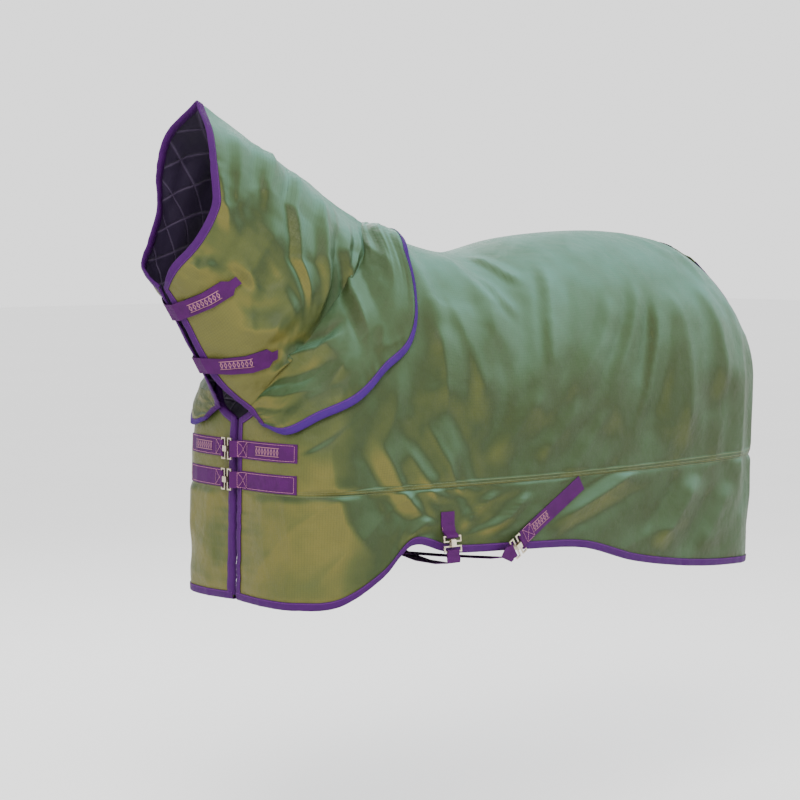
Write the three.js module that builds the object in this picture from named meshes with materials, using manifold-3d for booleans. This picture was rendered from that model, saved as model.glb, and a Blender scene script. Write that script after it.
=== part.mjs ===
// A turnout rug with a detachable neck cover, as it hangs on a 160 cm horse. The horse isn't part of it.
// Millimetres, +Z up. The head points to -Y, the horse's near (left) side is +X, and the origin is the
// underside of the lining on top of the withers, where the horse carries the rug.
import * as THREE from "three";
import { mergeVertices } from "three/addons/utils/BufferGeometryUtils.js";
import Module from "manifold-3d";

const wasm = await Module();
wasm.setup();

// Overall sizes.
const HALF_WIDTH = 325; // half of the barrel, inside the lining
const BACK_LENGTH = 1200; // withers to the rear edge
const DROP = 900; // withers to the lowest hem
const NECK_LENGTH = 670; // withers to the poll, along the crest
const FORM = new THREE.Vector3(HALF_WIDTH, BACK_LENGTH, DROP);
const NECK_FORM = new THREE.Vector3(HALF_WIDTH, NECK_LENGTH, NECK_LENGTH);

// Cloth layers, from the horse outwards.
const LAYER_GAP = 0.4;
const LINING = 1;
const WADDING = 6;
const OUTER = 1.4;
const WADDING_BASE = LINING + LAYER_GAP;
const OUTER_BASE = WADDING_BASE + WADDING + LAYER_GAP;
const OUTER_TOP = OUTER_BASE + OUTER;

// Edge binding: a folded tape that closes the three layers.
const BINDING_WIDTH = 18;
const BINDING = 1.2;
const BINDING_GAP = 0.5;
const BINDING_ROOM = 1.6; // between the cloth's cut edge and the fold
const BINDING_TOP = OUTER_TOP + BINDING_GAP + BINDING;

// Webbing.
const WEBBING = 1.8;
const WEBBING_WIDTH = 45;
const WEBBING_GAP = 0.6;
const WEBBING_BASE = OUTER_TOP + WEBBING_GAP;
const OVER_BINDING = BINDING_TOP + WEBBING_GAP;

// Neck cover: a lining and an outer, lying over the rug's shoulder.
const COVER_CLEARANCE = 8;
const COVER_LINING_BASE = BINDING_TOP + COVER_CLEARANCE;
const COVER_OUTER_BASE = COVER_LINING_BASE + LINING + LAYER_GAP;
const COVER_TOP = COVER_OUTER_BASE + OUTER;

// Columns of the body form, from the middle of the chest round the near side to the tail. Each gives its
// top, its widest point and its hem, as shares of FORM, and the angle at which it leaves its top.
const STATIONS = [
  { top: [0.025, -0.38, -0.475], side: [0.025, -0.385, -0.59], hem: [0.025, -0.39, -0.965], start: 70 },
  { top: [0.22, -0.378, -0.435], side: [0.36, -0.384, -0.578], hem: [0.36, -0.392, -0.968], start: 62 },
  { top: [0.38, -0.348, -0.357], side: [0.66, -0.364, -0.562], hem: [0.65, -0.374, -0.968], start: 48 },
  { top: [0.43, -0.285, -0.265], side: [0.83, -0.296, -0.535], hem: [0.82, -0.306, -0.96], start: 36 },
  { top: [0.41, -0.207, -0.155], side: [0.88, -0.208, -0.5], hem: [0.9, -0.216, -0.895], start: 24 },
  { top: [0.3, -0.12, -0.052], side: [0.91, -0.125, -0.478], hem: [0.925, -0.142, -0.812], start: 12 },
  { top: [0, -0.058, 0.029], side: [0.94, -0.055, -0.467], hem: [0.95, -0.06, -0.836], start: 0 },
  { top: [0, 0, 0], side: [0.955, 0, -0.467], hem: [0.965, -0.005, -0.845], start: 0 },
  { top: [0, 0.16, -0.04], side: [1, 0.16, -0.467], hem: [1, 0.155, -0.853], start: 0 },
  { top: [0, 0.333, 0.002], side: [1, 0.333, -0.467], hem: [0.99, 0.325, -0.87], start: 0 },
  { top: [0, 0.5, 0.021], side: [0.97, 0.5, -0.467], hem: [0.955, 0.485, -0.928], start: 0 },
  { top: [0, 0.65, 0.021], side: [0.925, 0.66, -0.444], hem: [0.89, 0.64, -0.964], start: 0 },
  { top: [0, 0.79, -0.004], side: [0.87, 0.79, -0.425], hem: [0.82, 0.775, -0.985], start: 0 },
  { top: [0, 0.867, -0.055], side: [0.785, 0.888, -0.43], hem: [0.73, 0.895, -0.997], start: 0 },
  { top: [0.05, 0.915, -0.12], side: [0.61, 0.968, -0.43], hem: [0.58, 0.965, -1.005], start: 6 },
  { top: [0.14, 0.945, -0.18], side: [0.37, 1.014, -0.45], hem: [0.37, 1.005, -1.01], start: 10 },
];
const LAST_STATION = STATIONS.length - 1;
const WITHERS_STATION = 6;
const DOCK_STATION = 13;
const SIDE_V = 0.5; // the widest point, between the top at 0 and the hem at 1
const SEAM_V = 0.65; // the seam between the upper and lower outer panels
const SEAM_HEIGHT = -0.663; // share of DROP
const SEAM_GAP = 0.4;

const COLUMNS = [0, 0.2, 0.6, 1, 1.5, 2, 2.5, 3, 3.5, 4, 4.5, 5, 5.5, 6, 6.5, 7, 8,
  9, 10, 11, 12, 12.5, 13, 13.5, 14, 14.5, 14.85, 15];
const ROWS = [0, 0.05, 0.12, 0.2, 0.3, 0.4, SIDE_V, SEAM_V, 0.82, 0.96, 1];
const SEAM_ROW = ROWS.indexOf(SEAM_V);
const LAST_COLUMN = COLUMNS.length - 1;
const LAST_ROW = ROWS.length - 1;
const WITHERS_COLUMN = COLUMNS.indexOf(WITHERS_STATION);
const DOCK_COLUMN = COLUMNS.indexOf(DOCK_STATION);

// Materials: shot polyester, polyester binding and webbing, dark lining, nickel and hook-and-loop.
const COLOURS = {
  outer: { color: 0x667a52, roughness: 0.55, metalness: 0 },
  lining: { color: 0x1c1424, roughness: 0.7, metalness: 0 },
  wadding: { color: 0xe8e6df, roughness: 0.95, metalness: 0 },
  binding: { color: 0x5a2378, roughness: 0.6, metalness: 0 },
  webbing: { color: 0x6a2a86, roughness: 0.7, metalness: 0 },
  fastener: { color: 0x24182c, roughness: 0.95, metalness: 0 },
  metal: { color: 0xb9b6ae, roughness: 0.28, metalness: 1 },
};

const root = new THREE.Group();

function addMesh(name, geometry, finish) {
  const mesh = new THREE.Mesh(geometry, new THREE.MeshStandardMaterial(COLOURS[finish]));
  mesh.name = name;
  root.add(mesh);
}

// ---- The body form ----

function curveThrough(points, form) {
  return new THREE.CatmullRomCurve3(
    points.map((p) => new THREE.Vector3(...p).multiply(form)), false, "catmullrom", 0.5);
}

const TOP_LINE = curveThrough(STATIONS.map((s) => s.top), FORM);
const SIDE_LINE = curveThrough(STATIONS.map((s) => s.side), FORM);
const HEM_LINE = curveThrough(STATIONS.map((s) => s.hem), FORM);

function startAngle(u) {
  const k = Math.min(Math.floor(u), LAST_STATION - 1);
  return THREE.MathUtils.degToRad(THREE.MathUtils.lerp(STATIONS[k].start, STATIONS[k + 1].start, u - k));
}

// The near side's lining underside: u counts stations, v runs from the top edge to the hem.
function bodyPoint(u, v) {
  const top = TOP_LINE.getPoint(u / LAST_STATION);
  const side = SIDE_LINE.getPoint(u / LAST_STATION);
  if (u >= WITHERS_STATION && u <= DOCK_STATION) top.x = 0;
  if (v <= SIDE_V) {
    const start = startAngle(u);
    const angle = THREE.MathUtils.lerp(start, Math.PI / 2, v / SIDE_V);
    const across = (Math.sin(angle) - Math.sin(start)) / (1 - Math.sin(start));
    const down = (Math.cos(start) - Math.cos(angle)) / Math.cos(start);
    return new THREE.Vector3(
      THREE.MathUtils.lerp(top.x, side.x, across),
      THREE.MathUtils.lerp(top.y, side.y, across),
      THREE.MathUtils.lerp(top.z, side.z, down));
  }
  const hem = HEM_LINE.getPoint(u / LAST_STATION);
  const seamShare = (side.z - SEAM_HEIGHT * DROP) / (side.z - hem.z);
  const share = v <= SEAM_V
    ? seamShare * (v - SIDE_V) / (SEAM_V - SIDE_V)
    : seamShare + (1 - seamShare) * (v - SEAM_V) / (1 - SEAM_V);
  return side.lerp(hem, share);
}

function bodyNormal(u, v) {
  const step = 0.02;
  const u0 = Math.max(u - step, 0);
  const u1 = Math.min(u + step, LAST_STATION);
  const v0 = Math.max(v - step, 0);
  const v1 = Math.min(v + step, 1);
  const along = bodyPoint(u1, v).sub(bodyPoint(u0, v));
  const down = bodyPoint(u, v1).sub(bodyPoint(u, v0));
  const normal = down.cross(along).normalize();
  if (v === 0 && u >= WITHERS_STATION && u <= DOCK_STATION) normal.setX(0).normalize();
  return normal;
}

function onBody(u, v, height, side = 1) {
  const point = bodyPoint(u, v).addScaledVector(bodyNormal(u, v), height);
  return point.setX(point.x * side);
}

// The parameter between two values at which a rising measure reaches a target.
function solve(measure, from, to, target) {
  let low = from;
  let high = to;
  for (let n = 0; n < 40; n += 1) {
    const middle = (low + high) / 2;
    if (measure(middle) < target) low = middle;
    else high = middle;
  }
  return (low + high) / 2;
}

function rowAtHeight(u, z) {
  return solve((v) => -bodyPoint(u, v).z, 0, 1, -z);
}

// Grid lines sit one binding's width inside each edge, so a binding lies flat on the cloth under it.
function gridPlace(i, j) {
  let u = COLUMNS[i];
  let v = ROWS[j];
  if (j === 1) v = solve((t) => bodyPoint(u, t).distanceTo(bodyPoint(u, 0)), 0, 0.3, BINDING_WIDTH);
  if (j === LAST_ROW - 1) {
    v = 1 - solve((t) => bodyPoint(u, 1 - t).distanceTo(bodyPoint(u, 1)), 0, 0.3, BINDING_WIDTH);
  }
  if (i === 1) u = solve((t) => bodyPoint(t, v).distanceTo(bodyPoint(0, v)), 0, 1, BINDING_WIDTH);
  if (i === LAST_COLUMN - 1) {
    u = LAST_STATION
      - solve((t) => bodyPoint(LAST_STATION - t, v).distanceTo(bodyPoint(LAST_STATION, v)), 0, 1, BINDING_WIDTH);
  }
  return [u, v];
}

const PLACES = COLUMNS.map((_, i) => ROWS.map((__, j) => gridPlace(i, j)));

// ---- Solid builders ----

function geometryFrom(points, triangles) {
  const geometry = new THREE.BufferGeometry();
  geometry.setAttribute("position", new THREE.Float32BufferAttribute(points.flatMap((p) => p.toArray()), 3));
  geometry.setIndex(triangles.flat());
  return geometry;
}

// A closed sheet: faces lists quads of keys, outside seen anticlockwise, and place(key, height) gives a
// key's point at a height above the form. Walls close every edge that has a quad on one side only.
function sheetSolid(faces, place, base, top) {
  const index = new Map();
  for (const key of faces.flat()) if (!index.has(key)) index.set(key, index.size);
  const keys = [...index.keys()];
  const points = [...keys.map((key) => place(key, top)), ...keys.map((key) => place(key, base))];
  const under = keys.length;
  const edges = new Set();
  const triangles = [];
  for (const face of faces) {
    const [a, b, c, d] = face.map((key) => index.get(key));
    triangles.push([a, b, c], [a, c, d], [under + c, under + b, under + a], [under + d, under + c, under + a]);
    for (const [p, q] of [[a, b], [b, c], [c, d], [d, a]]) edges.add(`${p},${q}`);
  }
  for (const edge of edges) {
    const [p, q] = edge.split(",").map(Number);
    if (!edges.has(`${q},${p}`)) triangles.push([q, p, under + p], [q, under + p, under + q]);
  }
  return geometryFrom(points, triangles);
}

// A solid swept through sections of the same number of points, closed by quads over its end sections. A
// face that turned(k, s) picks, by its place in the section and its section, splits along its other diagonal.
function sweptSolid(sections, capQuads, turned = () => false) {
  const size = sections[0].length;
  const triangles = [];
  for (let s = 0; s < sections.length - 1; s += 1) {
    for (let k = 0; k < size; k += 1) {
      const a = s * size + k;
      const b = s * size + (k + 1) % size;
      if (turned(k, s)) triangles.push([a, b, a + size], [b, b + size, a + size]);
      else triangles.push([a, b, b + size], [a, b + size, a + size]);
    }
  }
  const end = (sections.length - 1) * size;
  for (const [a, b, c, d] of capQuads) {
    triangles.push([c, b, a], [d, c, a], [end + a, end + b, end + c], [end + a, end + c, end + d]);
  }
  const geometry = geometryFrom(sections.flat(), triangles);
  return volumeOf(geometry) < 0 ? turnedInsideOut(geometry) : geometry;
}

function volumeOf(geometry) {
  const position = geometry.attributes.position;
  const corners = [0, 1, 2].map(() => new THREE.Vector3());
  let volume = 0;
  for (let t = 0; t < geometry.index.count; t += 3) {
    corners.forEach((corner, k) => corner.fromBufferAttribute(position, geometry.index.getX(t + k)));
    volume += corners[0].dot(corners[1].clone().cross(corners[2])) / 6;
  }
  return volume;
}

function turnedInsideOut(geometry) {
  const index = geometry.index;
  for (let t = 0; t < index.count; t += 3) {
    const first = index.getX(t);
    index.setX(t, index.getX(t + 1));
    index.setX(t + 1, first);
  }
  return geometry;
}

const FLAT_CAP = [[0, 1, 2, 3]];
const BINDING_CAPS = [[0, 1, 6, 7], [1, 2, 5, 6], [2, 3, 4, 5]];

// One section of a binding: edge and inner give a point at a height, at the cloth's edge and inside it.
function bindingSection(edge, inner, base, top) {
  const outwards = edge(0).sub(inner(0)).normalize();
  const high = top + BINDING_GAP;
  const low = base - BINDING_GAP;
  const reach = BINDING_ROOM + BINDING;
  const share = 0.95;
  const leg = (height) => inner(height).lerp(edge(height), 1 - share);
  const nose = (height, by) => edge(height).addScaledVector(outwards, by);
  return [
    leg(high + BINDING), nose(high + BINDING, reach), nose(low - BINDING, reach), leg(low - BINDING),
    leg(low), nose(low, BINDING_ROOM), nose(high, BINDING_ROOM), leg(high),
  ];
}

// A strip of webbing through places that each give a point and the cloth's normal.
function webbingStrip(places, width) {
  const sections = places.map(({ point, normal }, n) => {
    const before = places[Math.max(n - 1, 0)].point;
    const after = places[Math.min(n + 1, places.length - 1)].point;
    const across = after.clone().sub(before).cross(normal).normalize().multiplyScalar(width / 2);
    const raise = normal.clone().multiplyScalar(WEBBING);
    const right = point.clone().add(across);
    const left = point.clone().sub(across);
    return [right, left, left.clone().add(raise), right.clone().add(raise)];
  });
  return sweptSolid(sections, FLAT_CAP);
}

function toSolid(geometry) {
  const bare = geometry.index ? geometry.toNonIndexed() : geometry.clone();
  bare.deleteAttribute("normal");
  bare.deleteAttribute("uv");
  const merged = mergeVertices(bare, 1e-3);
  return new wasm.Manifold(new wasm.Mesh({
    numProp: 3,
    vertProperties: new Float32Array(merged.attributes.position.array),
    triVerts: new Uint32Array(merged.index.array),
  }));
}

function fromSolid(solid) {
  const mesh = solid.getMesh();
  const geometry = new THREE.BufferGeometry();
  geometry.setAttribute("position", new THREE.BufferAttribute(mesh.vertProperties, mesh.numProp));
  geometry.setIndex(new THREE.BufferAttribute(mesh.triVerts, 1));
  return geometry;
}

// ---- Body sheets and their bindings ----

const SIDES = { near: 1, off: -1 };

function bodyKey(side, i, j) {
  const shared = j === 0 && i >= WITHERS_COLUMN && i <= DOCK_COLUMN;
  return `${shared ? "spine" : side} ${i} ${j}`;
}

function bodyFaces(sides, firstRow, lastRow, firstColumn = 0, lastColumn = LAST_COLUMN) {
  const faces = [];
  for (const side of sides) {
    for (let i = firstColumn; i < lastColumn; i += 1) {
      for (let j = firstRow; j < lastRow; j += 1) {
        const face = [[i, j], [i, j + 1], [i + 1, j + 1], [i + 1, j]].map(([a, b]) => bodyKey(side, a, b));
        faces.push(side === "near" ? face : [face[0], face[3], face[2], face[1]]);
      }
    }
  }
  return faces;
}

function bodyPlace(key, height) {
  const [side, i, j] = key.split(" ");
  const [u, v] = PLACES[i][j];
  const point = onBody(u, v, height, SIDES[side] ?? 1);
  if (side === "spine") point.x = 0;
  return point;
}

function bodySheet(sides, firstRow, lastRow, base, top, drop = 0) {
  const place = (key, height) => {
    const point = bodyPlace(key, height);
    if (Number(key.split(" ")[2]) === firstRow) point.z -= drop;
    return point;
  };
  return sheetSolid(bodyFaces(sides, firstRow, lastRow), place, base, top);
}

function gridPoint(i, j, side) {
  const [u, v] = PLACES[i][j];
  return (height) => onBody(u, v, height, SIDES[side]);
}

// The binding's faces split along the same diagonals as the cloth under them.
const LEADING_EDGE = (k) => k === 0 || k === 4;
const TRAILING_EDGE = (k) => k === 2 || k === 6;

function bodyBinding(pairs, side, turned) {
  const sections = pairs.map(([edge, inner]) =>
    bindingSection(gridPoint(...edge, side), gridPoint(...inner, side), 0, OUTER_TOP));
  return sweptSolid(sections, BINDING_CAPS, turned);
}

function range(from, to) {
  return Array.from({ length: to - from + 1 }, (_, n) => from + n);
}

function addBody() {
  addMesh("outer_upper_panel", bodySheet(["near", "off"], 0, SEAM_ROW, OUTER_BASE, OUTER_TOP), "outer");
  addMesh("wadding", bodySheet(["near", "off"], 0, LAST_ROW, WADDING_BASE, WADDING_BASE + WADDING), "wadding");
  addMesh("lining", bodySheet(["near", "off"], 0, LAST_ROW, 0, LINING), "lining");
  const neckEnd = WITHERS_COLUMN - 1;
  for (const side of Object.keys(SIDES)) {
    const lower = bodySheet([side], SEAM_ROW, LAST_ROW, OUTER_BASE, OUTER_TOP, SEAM_GAP);
    addMesh(`outer_lower_panel_${side}`, lower, "outer");
    const front = range(0, LAST_ROW).map((j) => [[0, j], [1, j]]);
    const neckline = range(1, neckEnd).map((i) => [[i, 0], [i, 1]]);
    const hem = range(1, LAST_COLUMN - 1).map((i) => [[i, LAST_ROW], [i, LAST_ROW - 1]]);
    const tail = range(2, LAST_ROW).map((j) => [[LAST_COLUMN, j], [LAST_COLUMN - 1, j]]);
    addMesh(`front_edge_binding_${side}`, bodyBinding(front, side, LEADING_EDGE), "binding");
    addMesh(`neckline_binding_${side}`, bodyBinding(neckline, side, LEADING_EDGE), "binding");
    addMesh(`hem_binding_${side}`, bodyBinding(hem, side, TRAILING_EDGE), "binding");
    addMesh(`rear_edge_binding_${side}`, bodyBinding(tail, side, TRAILING_EDGE), "binding");
  }
}

// ---- Neck cover ----

const COVER_THICKNESS = COVER_TOP - COVER_LINING_BASE;
// Columns of the cover, from the throat edge up the near side to the crest. face, neck and base are shares
// of NECK_FORM, collar is the station where the column meets the rug's neckline, and edge is the station and
// height (a share of DROP) where it ends over the shoulder.
const COVER_COLUMNS = [
  { face: [0.03, -1.02, -0.155], neck: [0.03, -0.94, -0.285], base: [0.045, -0.815, -0.485], collar: 0.75, edge: [1.15, -0.489] },
  { face: [0.185, -1.04, -0.082], neck: [0.26, -0.9, -0.21], base: [0.32, -0.762, -0.41], collar: 1.3, edge: [1.75, -0.506] },
  { face: [0.29, -0.978, 0.008], neck: [0.36, -0.815, -0.09], base: [0.46, -0.672, -0.29], collar: 2, edge: [2.55, -0.467] },
  { face: [0.345, -0.922, 0.127], neck: [0.39, -0.754, 0.037], base: [0.51, -0.575, -0.164], collar: 3, edge: [3.4, -0.422] },
  { face: [0.345, -0.925, 0.246], neck: [0.36, -0.699, 0.164], base: [0.47, -0.485, -0.037], collar: 4, edge: [4.15, -0.35] },
  { face: [0.26, -0.913, 0.381], neck: [0.24, -0.634, 0.284], base: [0.31, -0.396, 0.09], collar: 5, edge: [5.3, -0.222] },
  { face: [0, -0.869, 0.497], neck: [0, -0.59, 0.331], base: [0, -0.321, 0.187], collar: 6, edge: [6.95, 0] },
];
const CREST = COVER_COLUMNS.length - 1;
const FACE_LINE = curveThrough(COVER_COLUMNS.map((c) => c.face), NECK_FORM);
const NECK_LINE = curveThrough(COVER_COLUMNS.map((c) => c.neck), NECK_FORM);
const BASE_LINE = curveThrough(COVER_COLUMNS.map((c) => c.base), NECK_FORM);
const COLLAR_LINE = curveThrough(COVER_COLUMNS.map((c) => [c.collar, 0, 0]), new THREE.Vector3(1, 1, 1));
const EDGE_LINE = curveThrough(
  COVER_COLUMNS.map((c, k) => [c.edge[0], k === CREST ? 0 : rowAtHeight(c.edge[0], c.edge[1] * DROP), 0]),
  new THREE.Vector3(1, 1, 1));
const COLLAR_ROW = 3; // rows 0 to 3 run down the neck, and 3 to 6 lie over the rug
const LAST_COVER_ROW = 6;

function overShoulder(a, r) {
  const share = (r - COLLAR_ROW) / (LAST_COVER_ROW - COLLAR_ROW);
  const collar = COLLAR_LINE.getPoint(a / CREST);
  const edge = EDGE_LINE.getPoint(a / CREST);
  return onBody(THREE.MathUtils.lerp(collar.x, edge.x, share), Math.max(edge.y * share, 0), COVER_LINING_BASE);
}

// The near half of the cover's lining underside: a counts columns from the throat, r rows from the face.
function coverPoint(a, r) {
  if (r >= COLLAR_ROW) return overShoulder(a, r);
  const lines = [FACE_LINE, NECK_LINE, BASE_LINE].map((line) => line.getPoint(a / CREST));
  const curve = new THREE.CatmullRomCurve3(
    [...lines, overShoulder(a, COLLAR_ROW), overShoulder(a, COLLAR_ROW + 1)], false, "catmullrom", 0.5);
  return curve.getPoint(r / 4);
}

function onCover(a, r, height, side = 1) {
  const step = 0.03;
  const a0 = Math.max(a - step, 0);
  const a1 = Math.min(a + step, CREST);
  const r0 = Math.max(r - step, 0);
  const r1 = Math.min(r + step, LAST_COVER_ROW);
  const up = coverPoint(a1, r).sub(coverPoint(a0, r));
  const back = coverPoint(a, r1).sub(coverPoint(a, r0));
  const normal = back.cross(up).normalize();
  if (a === CREST) normal.setX(0).normalize();
  const point = coverPoint(a, r).addScaledVector(normal, height);
  if (a === CREST) point.x = 0;
  return point.setX(point.x * side);
}

const COVER_A = [0, 0.2, 0.5, 1, 1.5, 2, 2.5, 3, 3.5, 4, 4.4, 4.8, 5.1, 5.35, 5.6, 5.8, CREST];
const COVER_R = [0, 0.1, 0.5, 1, 1.5, 2.2, COLLAR_ROW, 3.6, 4.2, 4.8, 5.4, 5.8, LAST_COVER_ROW];
const LAST_A = COVER_A.length - 1;
const LAST_R = COVER_R.length - 1;

function coverPlace(i, j) {
  let a = COVER_A[i];
  let r = COVER_R[j];
  if (j === 1) r = solve((t) => coverPoint(a, t).distanceTo(coverPoint(a, 0)), 0, 0.5, BINDING_WIDTH);
  if (j === LAST_R - 1) {
    r = LAST_COVER_ROW - solve(
      (t) => coverPoint(a, LAST_COVER_ROW - t).distanceTo(coverPoint(a, LAST_COVER_ROW)), 0, 2, BINDING_WIDTH);
  }
  if (i === 1) a = solve((t) => coverPoint(t, r).distanceTo(coverPoint(0, r)), 0, 1, BINDING_WIDTH);
  return [a, r];
}

const COVER_PLACES = COVER_A.map((_, i) => COVER_R.map((__, j) => coverPlace(i, j)));

function coverSheet(base, top) {
  const key = (side, i, j) => `${i === LAST_A ? "crest" : side} ${i} ${j}`;
  const faces = [];
  for (const side of Object.keys(SIDES)) {
    for (let i = 0; i < LAST_A; i += 1) {
      for (let j = 0; j < LAST_R; j += 1) {
        const face = [[i, j], [i, j + 1], [i + 1, j + 1], [i + 1, j]].map(([p, q]) => key(side, p, q));
        faces.push(side === "near" ? face : [face[0], face[3], face[2], face[1]]);
      }
    }
  }
  const place = (name, height) => {
    const [side, i, j] = name.split(" ");
    const [a, r] = COVER_PLACES[i][j];
    return onCover(a, r, height, SIDES[side] ?? 1);
  };
  return sheetSolid(faces, place, base, top);
}

function coverBinding(pairs, turned) {
  const at = ([i, j, side]) => {
    const [a, r] = COVER_PLACES[i][j];
    return (height) => onCover(a, r, height, SIDES[side]);
  };
  const sections = pairs.map(([edge, inner]) => bindingSection(at(edge), at(inner), 0, COVER_THICKNESS));
  return sweptSolid(sections, BINDING_CAPS, turned);
}

// The columns from the near throat edge over the crest to the off one, leaving out the edge columns.
function roundTheNeck(edgeRow, innerRow) {
  const near = range(1, LAST_A).map((i) => [[i, edgeRow, "near"], [i, innerRow, "near"]]);
  const off = range(1, LAST_A - 1).reverse().map((i) => [[i, edgeRow, "off"], [i, innerRow, "off"]]);
  return [...near, ...off];
}

// ---- Neck cover tabs: webbing that closes the throat with hook-and-loop ----

const PAD = 1.4; // hook or loop tape
const PAD_GAP = 0.4;
const TAB_ROWS = { upper: 0.7, lower: 1.72 };
const TAB_SLOPES = { upper: 0.22, lower: 0.38 }; // rows down the neck for each column round it
const TAB_REACH = [0, 0.2, 0.5, 1, 1.5];
const TAB_PULL = [1.62, 1.8];
const PULL_WIDTH = 22;
const TAB_PAD_REACH = [0.5, 1, 1.5];
const COVER_TAPE_GAP = 2.4;
const LOOP_BASE = COVER_THICKNESS + COVER_TAPE_GAP;
const HOOK_BASE = LOOP_BASE + PAD + PAD_GAP;
const TAB_BASE = HOOK_BASE + PAD + PAD_GAP;
const TAB_ANCHOR_GAP = 0.6;

// A section of a tab that lies on the cover, a columns from the throat edge: its edges follow the cover.
function tabSection(level, a, width, base, thickness, side = 1) {
  const row = TAB_ROWS[level] + TAB_SLOPES[level] * a;
  const edge = (sense) => {
    const reach = solve((t) => coverPoint(a, row + sense * t).distanceTo(coverPoint(a, row)), 0, 0.5, width / 2);
    return (height) => onCover(a, row + sense * reach, height, side);
  };
  const [upper, lower] = [edge(-1), edge(1)];
  return [upper(base), lower(base), lower(base + thickness), upper(base + thickness)];
}

// A strip's upper face splits along the same diagonals as its lower one, so stacked strips stay parallel.
const UPPER_FACE = (k) => k === 2;

function tabStrip(level, reach, width, base, thickness, side) {
  return sweptSolid(reach.map((a) => tabSection(level, a, width, base, thickness, side)), FLAT_CAP, UPPER_FACE);
}

// The section over the middle of the throat, at a distance to one side of it.
function throatSection(level, x) {
  return tabSection(level, 0, WEBBING_WIDTH, TAB_BASE, WEBBING).map((point) => point.setX(x));
}

function addTab(level) {
  const tab = [
    throatSection(level, TAB_ANCHOR_GAP),
    ...TAB_REACH.map((a) => tabSection(level, a, WEBBING_WIDTH, TAB_BASE, WEBBING)),
    ...TAB_PULL.map((a) => tabSection(level, a, PULL_WIDTH, TAB_BASE, WEBBING)),
  ];
  const anchor = [
    ...[1, 0.5].map((a) => tabSection(level, a, WEBBING_WIDTH, LOOP_BASE, WEBBING, -1)),
    ...[0.2, 0].map((a) => tabSection(level, a, WEBBING_WIDTH, TAB_BASE, WEBBING, -1)),
    throatSection(level, 0),
  ];
  addMesh(`neck_tab_${level}`, sweptSolid(tab, FLAT_CAP, UPPER_FACE), "webbing");
  addMesh(`neck_tab_hook_${level}`, tabStrip(level, TAB_PAD_REACH, WEBBING_WIDTH, HOOK_BASE, PAD), "fastener");
  addMesh(`neck_tab_loop_${level}`, tabStrip(level, TAB_PAD_REACH, WEBBING_WIDTH, LOOP_BASE, PAD), "fastener");
  addMesh(`neck_tab_anchor_${level}`, sweptSolid(anchor, FLAT_CAP, UPPER_FACE), "webbing");
}

// Hook-and-loop between the rug and the cover, on top of the withers. The hook half is backed with foam.
const WITHERS_HOOK = 2.6;

function addWithersFastener() {
  const columns = [WITHERS_COLUMN, WITHERS_COLUMN + 1, WITHERS_COLUMN + 2];
  const faces = bodyFaces(["near", "off"], 0, 1, columns[0], columns[2]);
  const hookBase = WEBBING_BASE + PAD + PAD_GAP;
  addMesh("withers_loop_tape", sheetSolid(faces, bodyPlace, WEBBING_BASE, WEBBING_BASE + PAD), "fastener");
  addMesh("withers_hook_tape", sheetSolid(faces, bodyPlace, hookBase, hookBase + WITHERS_HOOK), "fastener");
}

function addNeckCover() {
  addMesh("cover_lining", coverSheet(0, LINING), "lining");
  addMesh("cover_outer", coverSheet(LINING + LAYER_GAP, COVER_THICKNESS), "outer");
  const onNear = (s) => s < LAST_A - 1;
  const faceSplit = (k, s) => (onNear(s) ? LEADING_EDGE(k) : TRAILING_EDGE(k));
  const rearSplit = (k, s) => (onNear(s) ? TRAILING_EDGE(k) : LEADING_EDGE(k));
  addMesh("cover_face_binding", coverBinding(roundTheNeck(0, 1), faceSplit), "binding");
  addMesh("cover_rear_binding", coverBinding(roundTheNeck(LAST_R, LAST_R - 1), rearSplit), "binding");
  for (const side of Object.keys(SIDES)) {
    const throat = range(0, LAST_R).map((j) => [[0, j, side], [1, j, side]]);
    addMesh(`cover_throat_binding_${side}`, coverBinding(throat, LEADING_EDGE), "binding");
  }
  for (const level of Object.keys(TAB_ROWS)) addTab(level);
  addWithersFastener();
}

// ---- Tail flap: sewn across the rump, hanging over the dock ----

const FLAP = 2.4;
const FLAP_HALF_TOP = 72;
const FLAP_STEP = 0.8; // how far each sewn row of the flap stands off the one before
const FLAP_SEWN = [12.4, 12.7, 13];
// Below the dock: the middle of the flap and its near edge, as shares of FORM.
const FLAP_HANG = [
  { middle: [0, 0.955, -0.135], edge: [0.34, 0.966, -0.178] },
  { middle: [0, 1.008, -0.245], edge: [0.4, 1.006, -0.28] },
  { middle: [0, 1.034, -0.36], edge: [0.43, 1.034, -0.385] },
  { middle: [0, 1.04, -0.475], edge: [0.43, 1.04, -0.49] },
];
const FLAP_ACROSS = 4; // cells on each side of the middle

function flapRow(n) {
  if (n < FLAP_SEWN.length) {
    const u = FLAP_SEWN[n];
    const half = FLAP_HALF_TOP * (1 + 0.12 * n);
    const height = OUTER_TOP + WEBBING_GAP + FLAP_STEP * n * n;
    return (share) => {
      const v = solve((t) => bodyPoint(u, t).x, 0, SIDE_V, half * Math.abs(share));
      return onBody(u, share === 0 ? 0 : v, height, Math.sign(share) || 1);
    };
  }
  const { middle, edge } = FLAP_HANG[n - FLAP_SEWN.length];
  const from = new THREE.Vector3(...middle).multiply(FORM);
  const to = new THREE.Vector3(...edge).multiply(FORM);
  return (share) => {
    const round = 1 - Math.cos(Math.abs(share) * Math.PI / 2);
    return new THREE.Vector3(to.x * share, THREE.MathUtils.lerp(from.y, to.y, round),
      THREE.MathUtils.lerp(from.z, to.z, round));
  };
}

const FLAP_ROWS = FLAP_SEWN.length + FLAP_HANG.length;

function flapPoint(share, n) {
  const rows = range(0, FLAP_ROWS - 1).map((k) => flapRow(k)(share));
  return new THREE.CatmullRomCurve3(rows, false, "catmullrom", 0.5).getPoint(n / (FLAP_ROWS - 1));
}

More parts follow.
